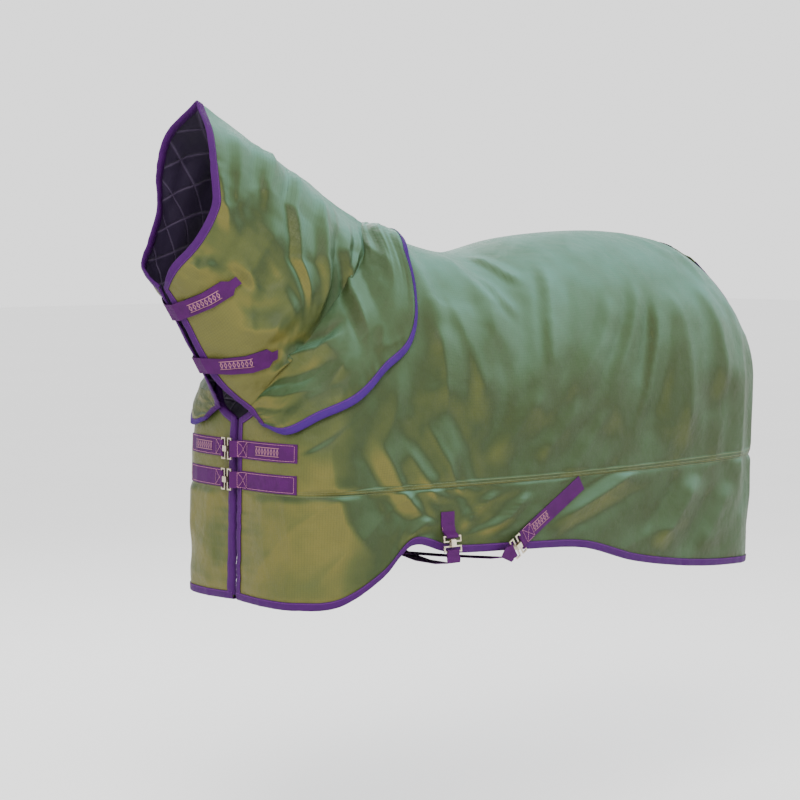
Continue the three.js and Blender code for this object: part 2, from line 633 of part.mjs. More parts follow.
function onFlap(share, n, height) {
  const step = 0.05;
  const across = flapPoint(Math.min(share + step, 1), n).sub(flapPoint(Math.max(share - step, -1), n));
  const down = flapPoint(share, Math.min(n + step, FLAP_ROWS - 1)).sub(flapPoint(share, Math.max(n - step, 0)));
  return flapPoint(share, n).addScaledVector(across.cross(down).normalize(), height);
}

function flapGrid() {
  const shares = range(-FLAP_ACROSS, FLAP_ACROSS).map((k) => k / FLAP_ACROSS);
  const rows = range(0, (FLAP_ROWS - 1) * 2).map((k) => k / 2);
  shares.splice(1, 0, -1);
  shares.splice(shares.length - 1, 0, 1);
  rows.splice(rows.length - 1, 0, FLAP_ROWS - 1);
  return shares.map((share, i) => rows.map((n, j) => {
    let s = share;
    let r = n;
    const from = Math.sign(share);
    if (i === 1 || i === shares.length - 2) {
      s = from * (1 - solve((t) => flapPoint(from * (1 - t), n).distanceTo(flapPoint(from, n)), 0, 1, BINDING_WIDTH));
    }
    if (j === rows.length - 2) {
      r = FLAP_ROWS - 1
        - solve((t) => flapPoint(s, FLAP_ROWS - 1 - t).distanceTo(flapPoint(s, FLAP_ROWS - 1)), 0, 1, BINDING_WIDTH);
    }
    return [s, r];
  }));
}

function addTailFlap() {
  const grid = flapGrid();
  const lastShare = grid.length - 1;
  const lastRow = grid[0].length - 1;
  const at = (i, j) => (height) => onFlap(...grid[i][j], height);
  const faces = [];
  for (let i = 0; i < lastShare; i += 1) {
    for (let j = 0; j < lastRow; j += 1) {
      faces.push([`${i} ${j}`, `${i + 1} ${j}`, `${i + 1} ${j + 1}`, `${i} ${j + 1}`]);
    }
  }
  const place = (key, height) => at(...key.split(" ").map(Number))(height);
  addMesh("tail_flap", sheetSolid(faces, place, 0, FLAP), "outer");
  const sewn = 4;
  const down = range(sewn, lastRow - 1);
  const pairs = [
    ...down.map((j) => [[0, j], [1, j]]),
    [[0, lastRow], [1, lastRow - 1]],
    ...range(2, lastShare - 2).map((i) => [[i, lastRow], [i, lastRow - 1]]),
    [[lastShare, lastRow], [lastShare - 1, lastRow - 1]],
    ...down.reverse().map((j) => [[lastShare, j], [lastShare - 1, j]]),
  ];
  const sections = pairs.map(([edge, inner]) => bindingSection(at(...edge), at(...inner), 0, FLAP));
  addMesh("tail_flap_binding", sweptSolid(sections, BINDING_CAPS, LEADING_EDGE), "binding");
  addMesh("tail_flap_tape", webbingStrip(flapTapePlaces(), FLAP_TAPE_WIDTH), "webbing");
}

const FLAP_TAPE_WIDTH = 20;
const FLAP_TAPE_GAP = 2; // to the flap's top edge

// The tape sewn along the flap's top edge, just ahead of it on the rump.
function flapTapePlaces() {
  const edge = range(-FLAP_ACROSS, FLAP_ACROSS).map((k) => k / FLAP_ACROSS);
  return edge.map((share) => {
    const top = onFlap(share, 0, 0);
    const normal = onFlap(share, 0, 1).sub(top);
    const back = flapPoint(share, 0.2).sub(flapPoint(share, 0)).normalize();
    return { point: top.addScaledVector(back, -(FLAP_TAPE_WIDTH / 2 + FLAP_TAPE_GAP)), normal };
  });
}

// ---- Chest closures ----

const WIRE = 3.5;
const BAR_FOLD = 1; // between a bar and the webbing folded round it
const LOOP_RADIUS = WIRE / 2 + BAR_FOLD + WEBBING;
const FRAME_WIDTH = 16;
const FRAME_HEIGHT = WEBBING_WIDTH + 8;
const BAR_PITCH = FRAME_WIDTH - WIRE;
const HOOK_REACH = 12; // from the ring's bar to the hook's own frame
const HARDWARE_LENGTH = 2 * BAR_PITCH + HOOK_REACH;
const CLOSURES = { upper: 72, lower: 147 }; // below the neckline at the chest
const HARDWARE_STANDOFF = 16; // from the top of a binding to the bars
const HOOK_BAR_X = 4;
const PATCH_FROM_BAR = 25;
const PATCH_GAP = 3; // to the front edge's binding
const PATCH_END_STATION = 1.95;
const FOLD_LAP = 0.4;

// Webbing folded round a bar and running on towards a strip's end.
function foldedLoop(bar, axis, end, width) {
  const towards = end.clone().sub(bar);
  const length = towards.length();
  const shape = new THREE.Shape();
  shape.absarc(0, 0, LOOP_RADIUS, Math.PI / 2, Math.PI * 1.5, false);
  shape.lineTo(length, -WEBBING / 2);
  shape.lineTo(length, WEBBING / 2);
  shape.closePath();
  const hole = new THREE.Path();
  hole.absarc(0, 0, WIRE / 2 + BAR_FOLD, 0, Math.PI * 2, true);
  shape.holes.push(hole);
  const geometry = new THREE.ExtrudeGeometry(shape, { depth: width, bevelEnabled: false, curveSegments: 6 });
  geometry.translate(0, 0, -width / 2);
  const x = towards.normalize();
  const z = axis.clone().addScaledVector(x, -axis.dot(x)).normalize();
  const y = z.clone().cross(x);
  geometry.applyMatrix4(new THREE.Matrix4().makeBasis(x, y, z).setPosition(bar));
  return geometry;
}

// A wire frame in the XZ plane with one of its long bars on the origin and the other at x = BAR_PITCH.
function frameGeometry() {
  const outline = (shape, inset) => {
    const x = FRAME_WIDTH / 2 - inset;
    const z = FRAME_HEIGHT / 2 - inset;
    shape.moveTo(-x, -z);
    shape.lineTo(x, -z);
    shape.lineTo(x, z);
    shape.lineTo(-x, z);
    shape.closePath();
    return shape;
  };
  const shape = outline(new THREE.Shape(), 0);
  shape.holes.push(outline(new THREE.Path(), WIRE));
  const geometry = new THREE.ExtrudeGeometry(shape, { depth: WIRE, bevelEnabled: false });
  geometry.translate(BAR_PITCH / 2, 0, -WIRE / 2);
  geometry.rotateX(Math.PI / 2);
  return geometry;
}

const HOOK_WIDTH = 14;
const HOOK_INNER = 4.6;
const HOOK_OUTER = 7.4;
const GATE = 1.2;
const GATE_HEIGHT = 10;
const GATE_GAP = 0.5;
const GATE_SEAT = 5.2; // how far behind the bars the gate lies

// The hook's tongue, seen along its bars: a block on the hook's frame, and a finger that passes in front of
// the ring's bar and curls behind it.
function hookTongue() {
  const barX = BAR_PITCH;
  const frameX = BAR_PITCH + HOOK_REACH;
  const half = WIRE / 2 - 0.2;
  const shape = new THREE.Shape();
  shape.moveTo(frameX + half, -HOOK_OUTER);
  shape.lineTo(frameX + half, HOOK_OUTER);
  shape.lineTo(frameX - half, HOOK_OUTER);
  shape.lineTo(frameX - half, -HOOK_INNER);
  shape.lineTo(barX, -HOOK_INNER);
  shape.absarc(barX, 0, HOOK_INNER, -Math.PI / 2, -Math.PI * 1.5, true);
  shape.lineTo(barX, HOOK_OUTER);
  shape.absarc(barX, 0, HOOK_OUTER, Math.PI / 2, Math.PI * 1.5, false);
  shape.closePath();
  const geometry = new THREE.ExtrudeGeometry(shape, { depth: HOOK_WIDTH, bevelEnabled: false, curveSegments: 10 });
  geometry.translate(0, 0, -HOOK_WIDTH / 2);
  return geometry;
}

function hookGeometry() {
  const frame = frameGeometry();
  frame.translate(BAR_PITCH + HOOK_REACH, 0, 0);
  return fromSolid(toSolid(frame).add(toSolid(hookTongue())));
}

function gateGeometry() {
  const near = BAR_PITCH + GATE_GAP;
  const far = BAR_PITCH + HOOK_REACH - WIRE / 2 - GATE_GAP;
  const geometry = new THREE.BoxGeometry(far - near, GATE, GATE_HEIGHT);
  geometry.translate((near + far) / 2, GATE_SEAT + GATE / 2, 0);
  return geometry;
}

// A ring, a snap hook and its gate in one frame: x runs from the ring's own bar to the hook's, -y is outwards.
function addHardware(name, placement) {
  const pieces = { ring: frameGeometry(), hook: hookGeometry(), gate: gateGeometry() };
  for (const [piece, geometry] of Object.entries(pieces)) {
    geometry.applyMatrix4(placement);
    addMesh(`${name}_${piece}`, geometry, "metal");
  }
}

function stripPlace(u, z, height, side) {
  const v = rowAtHeight(u, z);
  const point = onBody(u, v, height, side);
  return { point, normal: onBody(u, v, height + 1, side).sub(point) };
}

// A strip of webbing whose first end is folded round a bar.
function addFoldedStrip(name, places, width, bar, axis) {
  const end = places[0].point.clone().addScaledVector(places[0].normal, WEBBING / 2);
  end.addScaledVector(end.clone().sub(bar).normalize(), FOLD_LAP);
  const strip = toSolid(webbingStrip(places, width));
  addMesh(name, fromSolid(strip.add(toSolid(foldedLoop(bar, axis, end, width - 5)))), "webbing");
}

const VERTICAL = new THREE.Vector3(0, 0, 1);

function addClosure(level) {
  const z = bodyPoint(0, 0).z - CLOSURES[level];
  const at = (x, height, side) =>
    stripPlace(solve((t) => bodyPoint(t, rowAtHeight(t, z)).x, 0, 3, x), z, height, side);
  const y = at(PATCH_FROM_BAR, BINDING_TOP, 1).point.y - HARDWARE_STANDOFF;
  const bars = { near: HOOK_BAR_X, off: HOOK_BAR_X - HARDWARE_LENGTH };
  for (const side of Object.keys(SIDES)) {
    const edge = bodyPoint(0, rowAtHeight(0, z)).x + BINDING_WIDTH;
    const start = Math.max(Math.abs(bars[side]) + PATCH_FROM_BAR, edge + PATCH_GAP);
    const stations = [0.6, 1, 1.5, PATCH_END_STATION]
      .filter((u) => bodyPoint(u, rowAtHeight(u, z)).x > start + WEBBING_GAP);
    const places = [at(start, WEBBING_BASE, SIDES[side]),
      ...stations.map((u) => stripPlace(u, z, WEBBING_BASE, SIDES[side]))];
    const bar = new THREE.Vector3(bars[side], y, z);
    addFoldedStrip(`chest_patch_${level}_${side}`, places, WEBBING_WIDTH, bar, VERTICAL);
  }
  addHardware(`chest_${level}`, new THREE.Matrix4().setPosition(bars.off, y, z));
}

// ---- Cross surcingles: short straps on the near side, long ones from the off side under the belly ----

const SURCINGLE_WIDTH = 40;
const END_RAISE = 3; // a short strap's folded end stands this far off the hem binding
const SURCINGLE_FOLD = 12;
const SURCINGLE_STANDOFF = 12;
const HEM_ROOM = 3; // between a long strap and the off hem it passes
const STRAP_LEAD = 10; // a long strap runs on this far before it turns in
const STRAP_UNDER = 12; // and passes this far below the near hem
const STRAP_TURN = 42; // how far across it has turned level
const STRAP_DIP = 6; // and how far it drops meanwhile
const STRAP_RISE = 18; // below the off hem where it turns up again
// Where a short strap starts, along the rug and above the hem, where it ends, where its long strap reaches
// the off side, and how far the long strap hangs under the belly, as a share of DROP.
const SURCINGLES = {
  front: { top: -65, rise: 97, foot: -65, clear: 49, offY: 190, sag: 0.893 },
  rear: { top: 375, rise: 166, foot: 165, clear: 26, offY: -62, sag: 0.883 },
};
const SLIDER_PLATE = 2;
const SLIDER_GAP = 0.7;
const SLIDER_LENGTH = 26;
const SLIDER_DROP = 45; // below the top of the long strap
const SLIDER_BASE = OUTER_TOP + 2 * SLIDER_GAP + SLIDER_PLATE;

function stationAt(y, z) {
  return solve((t) => bodyPoint(t, rowAtHeight(t, z)).y, 4, 13, y);
}

function hemHeight(y) {
  return bodyPoint(solve((t) => bodyPoint(t, 1).y, 4, 13, y), 1).z;
}

function flankPlace(y, z, height, side) {
  return stripPlace(stationAt(y, z), z, height, side);
}

function addSurcingle(name, { top, rise, foot, clear, offY, sag }) {
  const topHeight = hemHeight(top) + rise;
  const footHeight = hemHeight(foot) + clear;
  const short = [0, 0.33, 0.67, 1].map((share) => flankPlace(
    THREE.MathUtils.lerp(top, foot, share), THREE.MathUtils.lerp(topHeight, footHeight, share),
    share === 1 ? OVER_BINDING + END_RAISE : WEBBING_BASE, 1));
  const end = short[short.length - 1];
  const down = end.point.clone().sub(short[0].point).normalize();
  const across = down.clone().cross(end.normal).normalize();
  const outwards = across.clone().cross(down).normalize();
  const bar = end.point.clone().addScaledVector(down, SURCINGLE_FOLD)
    .addScaledVector(outwards, SURCINGLE_STANDOFF);
  addFoldedStrip(`surcingle_short_${name}`, short.reverse(), SURCINGLE_WIDTH, bar, across);
  const basis = new THREE.Matrix4().makeBasis(down, outwards.clone().negate(), across.clone().negate());
  addHardware(`surcingle_${name}`, basis.setPosition(bar));
  const hookBar = bar.clone().addScaledVector(down, HARDWARE_LENGTH);
  const start = { point: hookBar.clone().addScaledVector(down, SURCINGLE_FOLD), normal: outwards };
  const long = longStrap(start, down, offY, -sag * DROP);
  addFoldedStrip(`surcingle_long_${name}`, long, SURCINGLE_WIDTH, hookBar, across);
  addSlider(name, long[long.length - 3], long[long.length - 4]);
}

// From the hook at the near hem, under the belly and up the off side to its sewn end.
function longStrap(start, down, offY, belly) {
  const downwards = new THREE.Vector3(0, 0, -1);
  const offHem = hemHeight(offY);
  const hem = flankPlace(offY, offHem, OVER_BINDING + HEM_ROOM, -1);
  const leaving = start.point.clone().addScaledVector(down, STRAP_LEAD);
  const turnIn = leaving.clone().addScaledVector(down, STRAP_LEAD / 2);
  turnIn.z = Math.min(hemHeight(turnIn.y) - STRAP_UNDER, turnIn.z);
  const near = turnIn.clone().add(new THREE.Vector3(-STRAP_TURN, 0, -STRAP_DIP));
  const far = new THREE.Vector3(hem.point.x + STRAP_TURN, offY, offHem - STRAP_RISE - STRAP_DIP);
  const turnUp = new THREE.Vector3(hem.point.x + STRAP_DIP, offY, offHem - STRAP_RISE);
  const places = [start, { point: leaving, normal: start.normal },
    { point: turnIn, normal: new THREE.Vector3(1, 0, -1).normalize() }];
  for (const share of [0, 0.25, 0.5, 0.75, 1]) {
    const point = near.clone().lerp(far, share);
    point.z = THREE.MathUtils.lerp(belly, point.z, (2 * share - 1) ** 2);
    places.push({ point, normal: downwards });
  }
  places.push({ point: turnUp, normal: new THREE.Vector3(-1, 0, -1).normalize() }, hem);
  for (const rise of [30, 60, 120]) places.push(flankPlace(offY, offHem + rise, SLIDER_BASE, -1));
  places.push(flankPlace(offY, offHem + 140, WEBBING_BASE, -1));
  return places;
}

// The slider: a plate with a slot that the long strap passes through.
function addSlider(name, from, to) {
  const along = to.point.clone().sub(from.point).normalize();
  const across = along.clone().cross(from.normal).normalize();
  const outwards = across.clone().cross(along).normalize();
  const outer = new THREE.BoxGeometry(SURCINGLE_WIDTH + 10, SLIDER_LENGTH, WEBBING + 2 * (SLIDER_GAP + SLIDER_PLATE));
  const slot = new THREE.BoxGeometry(SURCINGLE_WIDTH + 2 * SLIDER_GAP, 2 * SLIDER_LENGTH, WEBBING + 2 * SLIDER_GAP);
  const plate = fromSolid(toSolid(outer).subtract(toSolid(slot)));
  const centre = from.point.clone().lerp(to.point, 0.5).addScaledVector(outwards, WEBBING / 2);
  plate.applyMatrix4(new THREE.Matrix4().makeBasis(across, along, outwards).setPosition(centre));
  addMesh(`surcingle_slider_${name}`, plate, "metal");
}

addBody();
addNeckCover();
addTailFlap();
for (const level of Object.keys(CLOSURES)) addClosure(level);
for (const [name, sizes] of Object.entries(SURCINGLES)) addSurcingle(name, sizes);

export default root;
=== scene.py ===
"""The looks of the turnout rug: cloth, binding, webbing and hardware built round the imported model.
Metres, in the model's own frame: -Y towards the head, +X towards the horse's near side, +Z up."""
import math

import bmesh
import bpy
import numpy as np
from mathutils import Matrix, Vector
from mathutils.bvhtree import BVHTree


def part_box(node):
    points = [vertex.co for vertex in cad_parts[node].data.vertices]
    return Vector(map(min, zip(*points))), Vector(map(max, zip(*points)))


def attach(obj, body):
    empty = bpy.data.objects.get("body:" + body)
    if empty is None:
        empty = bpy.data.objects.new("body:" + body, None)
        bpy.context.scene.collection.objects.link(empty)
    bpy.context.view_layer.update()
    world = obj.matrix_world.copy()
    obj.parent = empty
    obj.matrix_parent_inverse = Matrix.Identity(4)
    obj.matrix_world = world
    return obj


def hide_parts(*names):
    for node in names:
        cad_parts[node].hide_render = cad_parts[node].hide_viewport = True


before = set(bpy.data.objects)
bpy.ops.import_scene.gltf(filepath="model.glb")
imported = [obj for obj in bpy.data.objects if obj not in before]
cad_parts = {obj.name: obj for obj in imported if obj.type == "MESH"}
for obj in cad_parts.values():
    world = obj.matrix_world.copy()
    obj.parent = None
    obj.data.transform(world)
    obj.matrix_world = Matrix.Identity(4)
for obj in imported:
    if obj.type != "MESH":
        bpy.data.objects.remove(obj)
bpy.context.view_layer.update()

# ---- The form: the same numbers as the solids' source, in metres ----

HALF_WIDTH, BACK_LENGTH, DROP, NECK_LENGTH = 0.325, 1.2, 0.9, 0.67
FORM = np.array((HALF_WIDTH, BACK_LENGTH, DROP))
NECK_FORM = np.array((HALF_WIDTH, NECK_LENGTH, NECK_LENGTH))
TOPS = [(.025, -.38, -.475), (.22, -.378, -.435), (.38, -.348, -.357), (.43, -.285, -.265),
        (.41, -.207, -.155), (.3, -.12, -.052), (0, -.058, .029), (0, 0, 0), (0, .16, -.04),
        (0, .333, .002), (0, .5, .021), (0, .65, .021), (0, .79, -.004), (0, .867, -.055),
        (.05, .915, -.12), (.14, .945, -.18)]
FLANKS = [(.025, -.385, -.59), (.36, -.384, -.578), (.66, -.364, -.562), (.83, -.296, -.535),
          (.88, -.208, -.5), (.91, -.125, -.478), (.94, -.055, -.467), (.955, 0, -.467), (1, .16, -.467),
          (1, .333, -.467), (.97, .5, -.467), (.925, .66, -.444), (.87, .79, -.425), (.785, .888, -.43),
          (.61, .968, -.43), (.37, 1.014, -.45)]
HEMS = [(.025, -.39, -.965), (.36, -.392, -.968), (.65, -.374, -.968), (.82, -.306, -.96),
        (.9, -.216, -.895), (.925, -.142, -.812), (.95, -.06, -.836), (.965, -.005, -.845),
        (1, .155, -.853), (.99, .325, -.87), (.955, .485, -.928), (.89, .64, -.964), (.82, .775, -.985),
        (.73, .895, -.997), (.58, .965, -1.005), (.37, 1.005, -1.01)]
STARTS = [70, 62, 48, 36, 24, 12, 0, 0, 0, 0, 0, 0, 0, 0, 6, 10]
LAST = 15
WITHERS, DOCK = 6, 13
SIDE_V, SEAM_V, SEAM_Z = 0.5, 0.65, -0.663 * DROP
OUTER_TOP = 0.0092
BINDING_WIDTH = 0.018
WEBBING_WIDTH = 0.045
LINING = 0.001

FACES = [(.03, -1.02, -.155), (.185, -1.04, -.082), (.29, -.978, .008), (.345, -.922, .127),
         (.345, -.925, .246), (.26, -.913, .381), (0, -.869, .497)]
NECKS = [(.03, -.94, -.285), (.26, -.9, -.21), (.36, -.815, -.09), (.39, -.754, .037), (.36, -.699, .164),
         (.24, -.634, .284), (0, -.59, .331)]
BASES = [(.045, -.815, -.485), (.32, -.762, -.41), (.46, -.672, -.29), (.51, -.575, -.164),
         (.47, -.485, -.037), (.31, -.396, .09), (0, -.321, .187)]
COLLARS = [(.75,), (1.3,), (2,), (3,), (4,), (5,), (6,)]
COVER_EDGES = [(1.15, -.489), (1.75, -.506), (2.55, -.467), (3.4, -.422), (4.15, -.35), (5.3, -.222),
               (6.95, 0)]
COVER_BASE = 0.0189
COVER_TOP = 0.0028  # the cover's own thickness
CREST = 6


def unit(a):
    return a / np.maximum(np.linalg.norm(a, axis=-1, keepdims=True), 1e-9)


def smooth(t):
    t = np.clip(t, 0, 1)
    return t * t * (3 - 2 * t)


def hermite(p, i, w):
    a, b, c, d = p[i], p[i + 1], p[i + 2], p[i + 3]
    return ((2 * w**3 - 3 * w**2 + 1) * b + (w**3 - 2 * w**2 + w) * (c - a) / 2
            + (3 * w**2 - 2 * w**3) * c + (w**3 - w**2) * (d - b) / 2)


def spline(points, t):
    """A uniform Catmull-Rom curve through the points; t counts points."""
    p = np.asarray(points, float)
    p = np.vstack([2 * p[0] - p[1], p, 2 * p[-1] - p[-2]])
    t = np.clip(np.asarray(t, float), 0, len(points) - 1)
    i = np.minimum(t.astype(int), len(points) - 2)
    return hermite(p, i, (t - i)[..., None])


def body(u, v):
    """The near half of the rug's inner surface: u counts stations, v runs from the top edge to the hem."""
    u, v = np.broadcast_arrays(np.asarray(u, float), np.asarray(v, float))
    top, side, hem = (spline(np.array(line) * FORM, u) for line in (TOPS, FLANKS, HEMS))
    top[..., 0] = np.where((u >= WITHERS) & (u <= DOCK), 0, top[..., 0])
    start = np.radians(np.interp(u, range(LAST + 1), STARTS))
    angle = start + (np.pi / 2 - start) * np.clip(v / SIDE_V, 0, 1)
    across = ((np.sin(angle) - np.sin(start)) / (1 - np.sin(start)))[..., None]
    down = (np.cos(start) - np.cos(angle)) / np.cos(start)
    upper = top + (side - top) * across
    upper[..., 2] = top[..., 2] + (side[..., 2] - top[..., 2]) * down
    seam = (side[..., 2] - SEAM_Z) / (side[..., 2] - hem[..., 2])
    above = seam * (v - SIDE_V) / (SEAM_V - SIDE_V)
    s = np.where(v <= SEAM_V, above, seam + (1 - seam) * (v - SEAM_V) / (1 - SEAM_V))
    return np.where((v <= SIDE_V)[..., None], upper, side + (hem - side) * s[..., None])


def body_normal(u, v, step=0.02):
    u, v = np.broadcast_arrays(np.asarray(u, float), np.asarray(v, float))
    along = body(np.minimum(u + step, LAST), v) - body(np.maximum(u - step, 0), v)
    down = body(u, np.minimum(v + step, 1)) - body(u, np.maximum(v - step, 0))
    n = np.cross(down, along)
    n[..., 0] = np.where((v <= 0) & (u >= WITHERS) & (u <= DOCK), 0, n[..., 0])
    return unit(n)


def bisect(measure, target, low, high):
    """Where a rising measure reaches the target, for arrays."""
    for _ in range(30):
        mid = (low + high) / 2
        below = measure(mid) < target
        low, high = np.where(below, mid, low), np.where(below, high, mid)
    return (low + high) / 2


def row_at(u, z):
    u = np.asarray(u, float)
    return bisect(lambda v: -body(u, v)[..., 2], -np.asarray(z, float), np.zeros_like(u), np.ones_like(u))


EDGE_PATH = [(u, 0 if z == 0 else float(row_at(u, z * DROP))) for u, z in COVER_EDGES]


def over_shoulder_uv(a, r):
    share = (r - 3) / 3
    collar, edge = spline(COLLARS, a)[..., 0], spline(EDGE_PATH, a)
    return collar + (edge[..., 0] - collar) * share, np.maximum(edge[..., 1] * share, 0)


def over_shoulder(a, r):
    u, v = over_shoulder_uv(a, r)
    return body(u, v) + COVER_BASE * body_normal(u, v)


def cover(a, r):
    """The near half of the neck cover's inner surface: a runs throat to crest, r face to shoulder."""
    a, r = np.broadcast_arrays(np.asarray(a, float), np.asarray(r, float))
    rows = [spline(np.array(line) * NECK_FORM, a) for line in (FACES, NECKS, BASES)]
    rows += [over_shoulder(a, np.full(a.shape, 3.0)), over_shoulder(a, np.full(a.shape, 4.0))]
    p = np.stack([2 * rows[0] - rows[1], *rows, 2 * rows[-1] - rows[-2]])
    t = np.clip(r, 0, 3)
    i = np.minimum(t.astype(int), 3)
    w = (t - i)[..., None]
    spots = tuple(np.indices(a.shape))
    corners = np.stack([p[(i + k,) + spots] for k in range(4)])
    return np.where((r >= 3)[..., None], over_shoulder(a, r), hermite(corners, 0, w))


def cover_normal(a, r, step=0.03):
    a, r = np.broadcast_arrays(np.asarray(a, float), np.asarray(r, float))
    up = cover(np.minimum(a + step, CREST), r) - cover(np.maximum(a - step, 0), r)
    back = cover(a, np.minimum(r + step, CREST)) - cover(a, np.maximum(r - step, 0))
    n = np.cross(back, up)
    n[..., 0] = np.where(a >= CREST, 0, n[..., 0])
    return unit(n)


# ---- Folds: each is a line on the cloth with a width and a height, in metres ----

def noise(x, y, seed, octaves=3):
    """Smooth value noise, from -1 to 1."""
    total, size = 0, 1.0
    for k in range(octaves):
        table = np.random.default_rng(seed + k).uniform(-1, 1, (64, 64))
        px, py = x * 2**k, y * 2**k
        ix, iy = np.floor(px).astype(int), np.floor(py).astype(int)
        fx, fy = smooth(px - ix), smooth(py - iy)
        g = lambda i, j: table[(ix + i) % 64, (iy + j) % 64]
        low, high = (g(0, j) * (1 - fx) + g(1, j) * fx for j in (0, 1))
        total = total + size * (low * (1 - fy) + high * fy)
        size /= 2
    return total / (2 - 2.0 ** (1 - octaves))


def fold_field(x, y, folds):
    """Heights at chart places (x, y) from folds given as (points, width, height, lean).
    A fold is steeper on one side: lean 0.5 makes the side on its left half as wide."""
    total = np.zeros(np.shape(x))
    for points, width, height, lean in folds:
        pts = np.array(points, float)
        seg = np.diff(pts, axis=0)
        lengths = np.linalg.norm(seg, axis=1)
        run = np.concatenate([[0], np.cumsum(lengths)])
        best = np.full(np.shape(x), 1e9)
        signed = np.zeros(np.shape(x))
        along = np.zeros(np.shape(x))
        for k, (p, d, length) in enumerate(zip(pts, seg, lengths)):
            dx, dy = d / length
            rx, ry = x - p[0], y - p[1]
            t = np.clip(rx * dx + ry * dy, 0, length)
            ex, ey = rx - t * dx, ry - t * dy
            dist = np.hypot(ex, ey)
            side = np.sign(dx * ry - dy * rx)
            near = dist < best
            best = np.where(near, dist, best)
            signed = np.where(near, side * dist, signed)
            along = np.where(near, (run[k] + t) / run[-1], along)
        taper = smooth(along / 0.25) * smooth((1 - along) / 0.3)
        w = np.where(signed > 0, width * lean, width)
        q = signed / w
        ridge = np.exp(-np.abs(q) ** 1.25) - 0.35 * np.exp(-((np.abs(q) - 2.1) / 0.8) ** 2)
        total += height * taper * ridge
    return total


FLANK_RUN = np.concatenate([[0], np.cumsum(np.linalg.norm(
    np.diff(spline(np.array(FLANKS) * FORM, np.linspace(0, LAST, 301)), axis=0), axis=1))])
BODY_ROWS = 1.12  # metres of cloth from the top edge to the hem, on average
NECK_ROWS = 0.16  # metres of cloth in a row of the cover
NECK_ROUND = 0.115  # metres of cloth in a column of the cover


def body_chart(u, v):
    return np.interp(u, np.linspace(0, LAST, 301), FLANK_RUN), BODY_ROWS * np.asarray(v)


def cover_chart(a, r):
    return NECK_ROUND * np.asarray(a), NECK_ROWS * np.asarray(r)


def on_chart(chart, folds):
    placed = lambda points: [tuple(float(c) for c in chart(*p)) for p in points]
    return [(placed(points), width, height, lean) for points, width, height, lean in folds]


# Folds of the rug by (station, row): drawn in by the belly straps, over the hip and behind the shoulder.
BODY_FOLDS = on_chart(body_chart, [
    ([(7.4, .07), (7.5, .2), (7.7, .27), (7.6, .34), (7.3, .42)], .045, .016, 1.5),
    ([(6.9, .24), (7.1, .36), (7.3, .44), (7.1, .52)], .035, .010, 1.5),
    ([(8.1, .07), (8.3, .18), (8.5, .23)], .02, .007, .6),
    ([(7.8, .17), (7.95, .26), (8.15, .31)], .022, .008, .6),
    ([(8.95, .16), (8.55, .32), (8.35, .45)], .03, .008, .5),
    ([(9.8, .28), (9.3, .38), (9, .42), (8.5, .49)], .03, .008, .6),
    ([(10.4, .25), (10, .35), (9.7, .41), (9.3, .48)], .028, .010, .6),
    ([(10.85, .26), (11.05, .36), (11.05, .46), (11, .56), (11.05, .64)], .05, .019, 1.4),
    ([(10.6, .28), (10.4, .38), (10.15, .48), (9.8, .58)], .026, .009, .5),
    ([(11.6, .25), (12, .36), (12.1, .45), (12.15, .55)], .045, .014, 1.4),
    ([(11.4, .68), (10.9, .82), (10.4, .95)], .055, .017, .6),
    ([(10.1, .62), (9.3, .73), (8.6, .84), (8.2, .92)], .04, .015, .6),
    ([(12.6, .72), (12, .85), (11.5, .96)], .04, .010, .7),
    ([(8, .7), (7.65, .83), (7.2, .92)], .022, .010, .6),
    ([(7.5, .68), (7.1, .8), (6.7, .9)], .02, .008, .6),
    ([(8.3, .46), (7.85, .52), (7.4, .61)], .03, .010, .6),
    ([(8.9, .48), (8.5, .55), (8.1, .61)], .026, .008, .6),
    ([(9.4, .5), (8.9, .6), (8.5, .68)], .024, .006, .6),
    ([(2.6, .42), (2.75, .6), (3.1, .74), (4, .93)], .045, .012, 1.5),
    ([(4.4, .52), (5.4, .64), (6.7, .9)], .035, .012, .7),
    ([(3.7, .5), (4.5, .63), (5.4, .85)], .032, .011, .7),
    ([(5.2, .5), (6.1, .6), (7, .72)], .03, .009, .7),
    ([(5.6, .82), (5.1, .9), (4.7, .96)], .02, .006, 1),
    ([(6, .33), (6.05, .42), (6, .5)], .035, .009, 1.4),
    ([(11.6, .04), (12.1, .2), (12.8, .32)], .018, .005, 1),
    ([(12.1, .03), (12.6, .15), (13.2, .28)], .016, .005, 1),
    ([(11, .02), (11.3, .1), (11.9, .2)], .02, .004, 1),
    ([(10, .03), (9.6, .12), (9.4, .2)], .03, .004, 1),
    ([(13.1, .4), (12.95, .6), (12.9, .8)], .035, .008, 1),
    ([(14, .3), (13.9, .5), (13.8, .75), (13.7, .93)], .03, .009, 1),
    ([(1.5, .5), (1.7, .72), (2.1, .92)], .04, .008, 1),
    ([(.9, .62), (1, .78), (1.2, .93)], .03, .006, 1),
])
